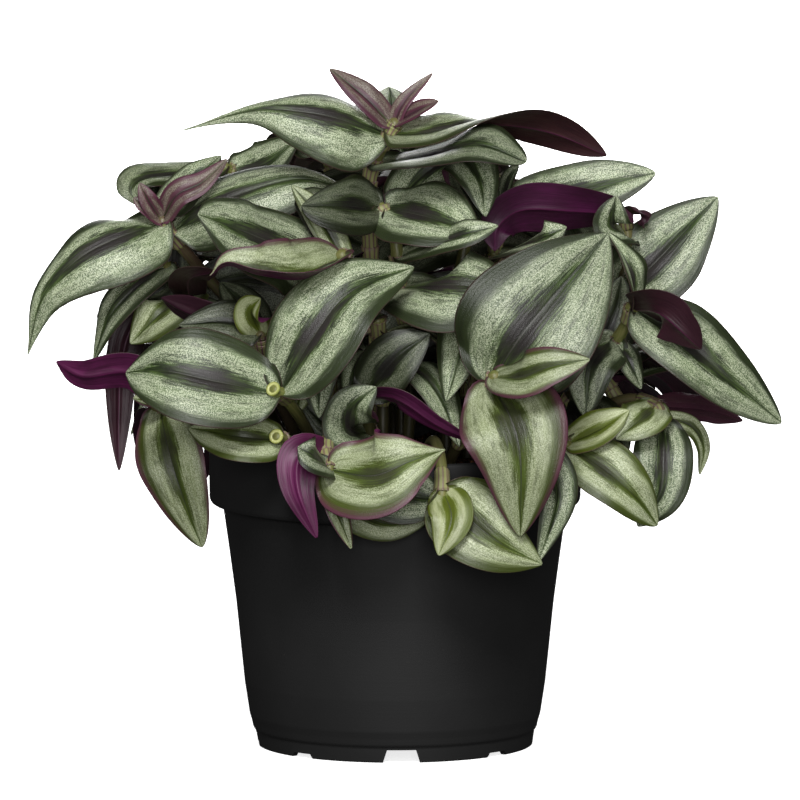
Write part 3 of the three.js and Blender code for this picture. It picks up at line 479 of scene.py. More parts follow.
@dataclass(frozen=True)
class LeafUpper:
    """The upper face: silver bands between a dark midrib and dark margins, over green.

    A place across runs from 0 at the midrib to 1 at the margin. Each `lumps` field says how many lumps of
    noise there are in a millimetre across and along. Each `shake` is how far noise moves a band's edge, and
    each `by` is how strongly one thing changes another.
    """

    silver: Colour = paint(100, 117, 82)
    # Painted glint: the bright colour painted into the silver's glitter.
    painted_glint: Colour = paint(212, 220, 188)
    green: Colour = paint(74, 94, 46)
    deep_green: Colour = paint(34, 44, 22)
    rib: Colour = paint(48, 44, 42)
    rib_line: Colour = paint(86, 80, 78)
    margin: Colour = paint(42, 50, 28)
    edge: Colour = paint(74, 48, 50)
    young_silver: Colour = paint(200, 206, 158)
    young_green: Colour = paint(100, 114, 24)
    blush: Colour = paint(92, 46, 66)
    broad_lumps: Point = (0.3, 0.06, 1.0)
    streak_lumps: Point = (2.4, 0.13, 1.0)
    patch_lumps: Point = (0.5, 0.14, 1.0)
    thread_lumps: Point = (5.5, 0.3, 1.0)
    grain_per_metre: float = 3000.0
    broad_shake: float = 0.36
    streak_shake: float = 0.26
    grain_shake: float = 0.12
    blush_shake: float = 0.25
    one_sided: float = 0.3
    lens_half: float = 0.21
    lens_foot: Step = Step(0.02, 0.32)
    lens_tip: Step = Step(1.0, 0.4)
    silver_from: Step = Step(0.02, 0.22)
    silver_until: Step = Step(0.87, 0.63)
    silver_patches: Step = Step(0.3, 0.5, 0.5, 1.0)
    silver_threads: Step = Step(0.3, 0.5, 0.66, 1.0)
    silver_by_youth: float = -0.2
    silver_by_shaded_blush: float = -1.1
    glitter_by_streak: float = 0.3
    glitter: Step = Step(0.53, 0.77)
    greening: Step = Step(0.42, 0.7, 0.0, 0.35)
    young_silver_share: float = 0.8
    mottling: Step = Step(0.8, 1.2)
    young_green_share: float = 0.92
    dusk_along: Step = Step(0.85, 0.4, 0.2, 1.0)
    dusk_across: Step = Step(0.1, -0.08)
    dusk_by_youth: float = -0.75
    young_rim_share: float = 0.7
    rim: Step = Step(0.64, 0.84, 0.0, 0.92)
    furrow: Step = Step(0.01, 0.05, 0.7, 0.0)
    ridge: Step = Step(0.006, 0.022, 0.6, 0.0)
    edging: Step = Step(0.965, 1.0, 0.0, 0.7)
    blushing: Step = Step(1.08, 1.3, 0.0, 0.9)
    blush_by_silver: float = -0.25
    light: float = 0.98
    light_by_chance: float = 0.24
    light_by_painted_shade: float = -0.7
    painted_light_in_patches: Step = Step(0.3, 0.7, 0.8, 1.14)
    light_at_foot: Step = Step(0.0, 0.12, 0.8, 1.0)
    veins_per_mm: float = 4.2
    vein_bump: Pair = (0.00005, 0.35)
    grain_bump: Pair = (0.0002, 0.6)
    bump_by_streak: float = 0.8
    roughness: float = 0.42
    roughness_by_glitter: float = -0.1

    def material(self) -> Material:
        """Builds the finish.

        The distance from the midrib, shaken by noise drawn out along the leaf, picks the band: a dark lens
        at the midrib that is widest in the leaf's lower half, green, silver, and a dark margin that is wider
        on one side. Fine grain in the object's own coordinates gives the silver painted glints. A blush
        spreads inwards from the margins. Painted shade darkens leaves that stand in shade, and broad patches
        of painted light and shade lie over the blade.

        Returns:
            The material.
        """
        bench = LeafBench(self)
        silvered = self._silvered(bench)
        # Painted glint: where the grain is high the silver takes the painted glint colour; the same share
        # also lowers the roughness.
        glitter = bench.spread(bench.scaled(bench.streak, self.glitter_by_streak, bench.grain), self.glitter)
        colour = bench.mixed(silvered, self._ground(bench), self._silver(bench, glitter))
        colour = self._lined(bench, colour)
        colour = self._blushed(bench, silvered, colour)
        # Painted light and shade: each leaf is darkened by its painted shade, and broad patches are painted
        # lighter and darker.
        colour = bench.dimmed(colour, self._tone_and_painted_light(bench))
        veins = bench.sum("SINE", bench.product(bench.parts(bench.flow)[0], self.veins_per_mm))
        raised = bench.sum("ADD", bench.grain, bench.product(bench.streak, self.bump_by_streak))
        normal = bench.bump(raised, *self.grain_bump, bench.bump(veins, *self.vein_bump))
        gloss = bench.scaled(bench.product(silvered, glitter), self.roughness_by_glitter, self.roughness)
        return bench.finish(Base_Color=colour, Roughness=gloss, Normal=normal, Specular_IOR_Level=0.5)

    def _silvered(self, bench: LeafBench) -> Input:
        """How silver each place is: in a band, broken by patches and threads, less on young leaves and on
        blushed leaves in painted shade.

        Args:
            bench: The leaf's bench.

        Returns:
            The share of silver from 0 to 1.
        """
        blush_in_painted_shade = bench.product(bench.blushed, bench.shaded)
        return bench.product(
            bench.spread(bench.past_lens, self.silver_from),
            bench.spread(bench.outwards, self.silver_until),
            bench.spread(bench.patch, self.silver_patches),
            bench.spread(bench.threads, self.silver_threads),
            bench.scaled(bench.youth, self.silver_by_youth, 1.0),
            bench.scaled(blush_in_painted_shade, self.silver_by_shaded_blush, 1.0),
        )

    def _silver(self, bench: LeafBench, glitter: Input) -> Socket:
        """The silver's colour: painted glints in grey-green, greener in broad patches, creamy when young."""
        silver = bench.mixed(glitter, self.silver, self.painted_glint)
        silver = bench.mixed(bench.spread(bench.broad, self.greening), silver, self.green)
        return bench.mixed(bench.product(bench.youth, self.young_silver_share), silver, self.young_silver)

    def _ground(self, bench: LeafBench) -> Socket:
        """The colour under the silver: mottled green, a dusky lens at the midrib and a dark rim.

        Args:
            bench: The leaf's bench.

        Returns:
            The colour.
        """
        mottled = bench.spread(bench.sum("ADD", bench.streak, bench.patch), self.mottling)
        green = bench.mixed(mottled, self.deep_green, self.green)
        green = bench.mixed(bench.product(bench.youth, self.young_green_share), green, self.young_green)
        dusky = bench.product(
            bench.lens,
            bench.spread(bench.along, self.dusk_along),
            bench.spread(bench.past_lens, self.dusk_across),
            bench.scaled(bench.youth, self.dusk_by_youth, 1.0),
        )
        rim = bench.mixed(bench.product(bench.youth, self.young_rim_share), self.margin, self.young_green)
        return bench.mixed(bench.spread(bench.outwards, self.rim), bench.mixed(dusky, green, self.rib), rim)

    def _lined(self, bench: LeafBench, colour: Input) -> Socket:
        """The colour with a dark furrow and a pale line at the midrib, and a thin edge at the margin."""
        colour = bench.mixed(bench.spread(bench.far, self.furrow), colour, self.deep_green)
        ridge = bench.product(bench.lens, bench.spread(bench.far, self.ridge))
        colour = bench.mixed(ridge, colour, self.rib_line)
        return bench.mixed(bench.spread(bench.far, self.edging), colour, self.edge)

    def _blushed(self, bench: LeafBench, silvered: Input, colour: Input) -> Socket:
        """The colour with a purple blush that comes in from the margins, weaker over silver."""
        flushed = bench.scaled(bench.about_middle(bench.streak), self.blush_shake, bench.blushed)
        rosy = bench.spread(bench.sum("ADD", bench.far, flushed), self.blushing)
        rosy = bench.product(rosy, bench.scaled(silvered, self.blush_by_silver, 1.0))
        return bench.mixed(rosy, colour, self.blush)

    def _tone_and_painted_light(self, bench: LeafBench) -> Input:
        """How light each place is: a random tone by leaf, darker by its painted shade, painted light and
        shade in broad patches, and darker at its foot.
        """
        return bench.product(
            bench.scaled(bench.about_middle(bench.chance), self.light_by_chance, self.light),
            bench.scaled(bench.shaded, self.light_by_painted_shade, 1.0),
            bench.spread(bench.broad, self.painted_light_in_patches),
            bench.spread(bench.along, self.light_at_foot),
        )


@dataclass(frozen=True)
class LeafUnder:
    """The underside: purple from dull maroon to bright magenta, with faint parallel veins."""

    maroon: Colour = paint(60, 34, 33)
    violet: Colour = paint(64, 19, 54)
    magenta: Colour = paint(112, 38, 88)
    vein: Colour = paint(36, 14, 24)
    streak_lumps: Point = (1.8, 0.1, 1.0)
    cloud_lumps: Point = (0.16, 0.12, 1.0)
    streaks: Step = Step(0.38, 0.7, 0.0, 0.4)
    clouds: Step = Step(0.35, 0.7, 0.0, 0.35)
    midrib: Step = Step(0.0, 0.04, 0.4, 0.0)
    painted_shade_share: float = 0.75
    streak_bump: Pair = (0.0003, 0.4)

    def material(self) -> Material:
        """Builds the finish: a colour by how vivid the leaf is, streaked along it, and darkened by painted
        shade.

        Returns:
            The material.
        """
        bench = NodeBench("leaf_under")
        across = bench.parts(bench.attribute("blade")[0])[0]
        flow = bench.attribute("flow")[0]
        shaded = bench.parts(bench.attribute("tone")[0])[2]
        vivid = bench.attribute("wine")[1]
        streak = bench.drawn_noise(flow, self.streak_lumps, 3.0)
        cloud = bench.drawn_noise(flow, self.cloud_lumps)
        base = bench.ramp(vivid, ((0.0, self.maroon), (0.5, self.violet), (1.0, self.magenta)))
        colour = bench.mixed(bench.spread(streak, self.streaks), base, self.vein)
        colour = bench.mixed(bench.spread(cloud, self.clouds), colour, self.vein)
        far = bench.sum("ABSOLUTE", across)
        colour = bench.mixed(bench.spread(far, self.midrib), colour, self.magenta)
        # Painted shade: leaves that stand in shade are painted towards the dark vein colour.
        colour = bench.mixed(bench.product(shaded, self.painted_shade_share), colour, self.vein)
        normal = bench.bump(streak, *self.streak_bump)
        return bench.finish(Base_Color=colour, Roughness=0.46, Normal=normal, Specular_IOR_Level=0.45)


@dataclass(frozen=True)
class StemSkin:
    """The fleshy stem: yellow-green, streaked and flushed with purple; darker lower down, with painted shade
    inside the foliage.
    """

    green: Colour = paint(104, 116, 50)
    pale: Colour = paint(150, 156, 84)
    purple: Colour = paint(78, 42, 54)
    # Painted shade: the dark colour that the stem takes lower down, inside the foliage.
    shade: Colour = paint(34, 26, 20)
    streak_lumps: Point = (1.6, 0.12, 1.0)
    streaks: Step = Step(0.35, 0.65)
    flush: Step = Step(0.3, 0.6, 0.4, 1.0)
    painted_shade_below: Step = Step(0.5, 1.0, 0.85, 0.0)
    streak_bump: Pair = (0.0003, 0.3)

    def material(self) -> Material:
        """Builds the finish from streaks drawn out along the stem.

        Returns:
            The material.
        """
        bench = NodeBench("stem_skin")
        flow = bench.attribute("flow")[0]
        blushed = bench.parts(bench.attribute("tone")[0])[1]
        streak = bench.drawn_noise(flow, self.streak_lumps)
        colour = bench.mixed(bench.spread(streak, self.streaks), self.green, self.pale)
        flushed = bench.product(blushed, bench.spread(streak, self.flush))
        colour = bench.mixed(flushed, colour, self.purple)
        along = bench.parts(bench.attribute("blade")[0])[1]
        # Painted shade: the lower part of the stem, inside the foliage, is painted dark.
        colour = bench.mixed(bench.spread(along, self.painted_shade_below), colour, self.shade)
        return bench.finish(Base_Color=colour, Roughness=0.42, Normal=bench.bump(streak, *self.streak_bump))


@dataclass(frozen=True)
class SheathSkin:
    """The thin sleeve at a leaf's foot: pale, with purple stripes along it."""

    pale: Colour = paint(152, 156, 98)
    stripe: Colour = paint(104, 60, 80)
    stripes_half_round: int = 11
    striping: Step = Step(-0.2, 0.9, 0.15, 1.0)
    least_stripe: float = 0.4
    stripe_by_blush: float = 0.6
    mouth: Step = Step(0.8, 1.0, 0.0, 0.6)
    stripe_bump: Pair = (0.0001, 0.4)

    def material(self) -> Material:
        """Builds the finish: stripes counted round the sleeve, stronger on blushed stems.

        Returns:
            The material.
        """
        bench = NodeBench("sheath_skin")
        across, along, _ = bench.parts(bench.attribute("blade")[0])
        blushed = bench.parts(bench.attribute("tone")[0])[1]
        stripes = bench.sum("SINE", bench.product(across, self.stripes_half_round * math.pi))
        stronger = bench.scaled(blushed, self.stripe_by_blush, self.least_stripe)
        share = bench.product(bench.spread(stripes, self.striping), stronger)
        colour = bench.mixed(share, self.pale, self.stripe)
        colour = bench.mixed(bench.spread(along, self.mouth), colour, self.stripe)
        return bench.finish(Base_Color=colour, Roughness=0.5, Normal=bench.bump(stripes, *self.stripe_bump))


@dataclass(frozen=True)
class CutFlesh:
    """A stem cut across: a pale ring of rind round wet green pith."""

    pith: Colour = paint(150, 156, 76)
    ring: Colour = paint(206, 208, 140)
    core: Colour = paint(96, 92, 44)
    mottle_per_metre: float = 2200.0
    mottle_shake: float = 0.3
    mottle_bump: Pair = (0.0004, 0.5)

    def material(self) -> Material:
        """Builds the finish: colour by the distance from the stem's middle.

        Returns:
            The material.
        """
        bench = NodeBench("cut_flesh")
        out = bench.parts(bench.attribute("blade")[0])[0]
        mottled = bench.noise(bench.place(), self.mottle_per_metre)
        place = bench.scaled(bench.about_middle(mottled), self.mottle_shake, out)
        stops = ((0.0, self.core), (0.25, self.core), (0.45, self.pith), (0.72, self.ring), (1.0, self.pith))
        normal = bench.bump(mottled, *self.mottle_bump)
        return bench.finish(Base_Color=bench.ramp(place, stops), Roughness=0.3, Normal=normal)


@dataclass(frozen=True)
class PaleHair:
    """The fine pale hairs at a sheath's mouth."""

    colour: Colour = paint(206, 200, 190)
    patches_per_metre: float = 300.0
    patches: Step = Step(0.35, 0.65)
    darker_share: float = 0.6

    def material(self) -> Material:
        """Builds the finish: pale, a little darker in patches."""
        bench = NodeBench("pale_hair")
        patch = bench.noise(bench.place(), self.patches_per_metre, 1.0)
        darker = tuple(self.darker_share * part for part in self.colour)
        return bench.finish(
            Base_Color=bench.mixed(bench.spread(patch, self.patches), darker, self.colour), Roughness=0.6
        )


@dataclass(frozen=True)
class PotPlastic:
    """Moulded black plastic: satin, with fine flow lines round it and a dusting of pale scuffs."""

    black: Colour = paint(29, 29, 29)
    worn: Colour = paint(33, 33, 33)
    dust: Colour = paint(70, 68, 64)
    ring_lumps: Point = (1.0, 1.0, 60.0)
    rings_per_metre: float = 30.0
    grain_per_metre: float = 1600.0
    clouds_per_metre: float = 22.0
    wear: Step = Step(0.35, 0.75)
    dusting: Step = Step(0.45, 0.7, 0.0, 0.5)
    specks: Step = Step(0.66, 0.78)
    roughness: float = 0.56
    roughness_by_cloud: float = 0.16
    ring_bump: Pair = (0.00004, 0.3)
    grain_bump: Pair = (0.00008, 0.3)

    def material(self) -> Material:
        """Builds the finish from noise drawn out round the pot and fine grain.

        Returns:
            The material.
        """
        bench = NodeBench("pot_plastic")
        place = bench.place()
        rings = bench.drawn_noise(place, self.ring_lumps, 3.0, self.rings_per_metre)
        grain = bench.noise(place, self.grain_per_metre, 3.0)
        cloud = bench.noise(place, self.clouds_per_metre, 4.0)
        colour = bench.mixed(bench.spread(cloud, self.wear), self.black, self.worn)
        speck = bench.product(bench.spread(grain, self.specks), bench.spread(cloud, self.dusting))
        colour = bench.mixed(speck, colour, self.dust)
        gloss = bench.scaled(cloud, self.roughness_by_cloud, self.roughness)
        normal = bench.bump(grain, *self.grain_bump, bench.bump(rings, *self.ring_bump))
        return bench.finish(Base_Color=colour, Roughness=gloss, Normal=normal, Specular_IOR_Level=0.35)


@dataclass(frozen=True)
class Peat:
    """Damp peat: dark red-brown with paler fibres and near-black crumbs."""

    dark: Colour = paint(30, 19, 15)
    brown: Colour = paint(78, 50, 34)
    fibre: Colour = paint(122, 88, 58)
    lumps_per_metre: float = 260.0
    crumbs_per_metre: float = 900.0
    thread_lumps: Point = (1.0, 6.0, 2.0)
    threads_per_metre: float = 240.0
    lumping: Step = Step(0.35, 0.7)
    threading: Step = Step(0.6, 0.68, 0.0, 0.7)
    crumbling: Step = Step(0.55, 0.75, 0.0, 0.6)
    crumb_bump: Pair = (0.0012, 0.8)

    def material(self) -> Material:
        """Builds the finish from crumbs of two sizes and thin fibres.

        Returns:
            The material.
        """
        bench = NodeBench("peat")
        place = bench.place()
        lumps = bench.noise(place, self.lumps_per_metre, 4.0)
        crumbs = bench.noise(place, self.crumbs_per_metre, 3.0)
        threads = bench.drawn_noise(place, self.thread_lumps, 2.0, self.threads_per_metre)
        colour = bench.mixed(bench.spread(lumps, self.lumping), self.dark, self.brown)
        colour = bench.mixed(bench.spread(threads, self.threading), colour, self.fibre)
        colour = bench.mixed(bench.spread(crumbs, self.crumbling), colour, self.dark)
        normal = bench.bump(bench.sum("ADD", lumps, crumbs), *self.crumb_bump)
        return bench.finish(Base_Color=colour, Roughness=0.92, Normal=normal, Specular_IOR_Level=0.2)


@dataclass(frozen=True)
class StudioPaper:
    """The plain white floor, bright enough to run into the background."""

    white: Colour = (0.92, 0.92, 0.92)
    glow: float = 0.85

    def material(self) -> Material:
        """Builds the finish: matt white that also glows a little, so that shadows on it stay pale."""
        bench = NodeBench("studio_paper")
        return bench.finish(
            Base_Color=self.white, Roughness=0.9, Specular_IOR_Level=0.0, Emission_Color=self.white,
            Emission_Strength=self.glow,
        )


# Leaves and stems


class Tone(Enum):
    """How a leaf is coloured: its youth, its blush, its painted shade and how vivid its underside is."""

    SILVER = (0.0, 0.0, 0.0, 0.3)
    # Painted shade: a leaf half in shade behind the others.
    PAINTED_HALF_SHADE = (0.0, 0.05, 0.45, 0.2)
    FRESH = (0.4, 0.05, 0.0, 0.5)
    YOUNG = (0.85, 0.15, 0.0, 0.7)
    LIME = (1.0, 0.0, 0.0, 0.7)
    BLUSHED = (0.42, 0.32, 0.0, 0.8)
    BUD = (0.1, 1.08, 0.0, 0.85)
    # Painted shade: a leaf deep in the shade inside the plant.
    DARK = (0.1, 0.1, 1.0, 0.15)
    DUSKY_UNDER = (0.0, 0.1, 0.2, 0.72)
    PURPLE_UNDER = (0.0, 0.1, 0.0, 0.85)
    RED = (0.0, 1.25, 0.7, 0.2)
    DULL_UNDER = (0.15, 0.0, 0.0, 0.05)
    RED_UNDER = (0.1, 0.1, 0.3, 0.15)
    VIOLET_UNDER = (0.0, 0.0, 0.0, 0.6)


@dataclass(frozen=True)
class LeafPlan:
    """One leaf: the line of its midrib, the way its upper face looks, its width and how it bends.

    `twist` is in degrees from foot to tip, `fold` lifts the halves from the midrib, `curl` brings the
    margins down again and `point` is how drawn-out the tip is. An `inner` leaf fills the shade behind the
    others.
    """

    rib: tuple[Point, ...]
    faces: Point
    wide: float
    twist: float = 0.0
    fold: float = 0.3
    curl: float = 0.22
    point: float = 0.85
    ruled: bool = False
    inner: bool = False
    tone: Tone = Tone.SILVER


@dataclass(frozen=True)
class StemPlan:
    """One leafy stem: its root in the soil, its line above the soil and its leaves."""

    root: Pair
    line: tuple[Point, ...]
    leaves: tuple[LeafPlan, ...]
    cut: bool = False

    def curve(self) -> SmoothLine:
        """The stem's line from its foot in the soil to its end."""
        x, y = self.root
        foot = [(x, y, height) for height in (StemSizes.foot, StemSizes.below_top, StemSizes.upright)]
        return SmoothLine([*foot, *self.line])


@dataclass(frozen=True)
class Move:
    """How a leaf is moved to clear others: a bend at its tip, a swing in degrees, a share of its size."""

    bend: float = 0.0
    swing: float = 0.0
    share: float = 1.0


@dataclass(frozen=True)
class StemSizes:
    """Sizes that stems and their leaves share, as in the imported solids."""

    foot: float = 82.0
    below_top: float = 90.0
    upright: float = 97.0
    radius: float = 1.9
    sheath_half_width: float = 1.3
    tip_half_width: float = 0.3
    shoulder_power: float = 0.55
    twist_power: float = 1.5
    lowest_leaf: float = 0.35
    foot_places: int = 100
    near_bend_way: Point = (0.0, -1.0, 0.13)
    near_bends: tuple[float, ...] = (0, 3, -3, 6, -6, 9, -9, 12, -12, 16, -16, 20, -20, 25, -25)
    ruled_bends: tuple[float, ...] = (0, 5, -5, 10, -10, 16, -16)
    ruled_swings: tuple[float, ...] = (0, 15, -15, 30, -30, 45, -45, 65, -65)
    ruled_shares: tuple[float, ...] = (1, 0.82, 0.66)
    ruled_last_row: float = 0.74
    near_last_rows: tuple[Pair, ...] = ((28, 0.85), (15, 0.76), (0, 0.7))


def leaf(wide: float, faces: Point, *rib: Point, **more: Union[float, Tone]) -> LeafPlan:
    """A leaf by its width, the way it faces, the points of its midrib and what else differs."""
    return LeafPlan(rib, faces, wide, **more)


def filler(wide: float, *rib: Point) -> LeafPlan:
    """A leaf that faces the front and fills the shade behind the others, darkened all over by painted shade.
    """
    return leaf(wide, (0, -1, 0.15), *rib, inner=True, tone=Tone.DARK)


def stem(root: Pair, line: tuple[Point, ...], *leaves: LeafPlan, cut: bool = False) -> StemPlan:
    """A stem by its root, the points of its line above the soil and its leaves from the foot up."""
    return StemPlan(root, line, leaves, cut)


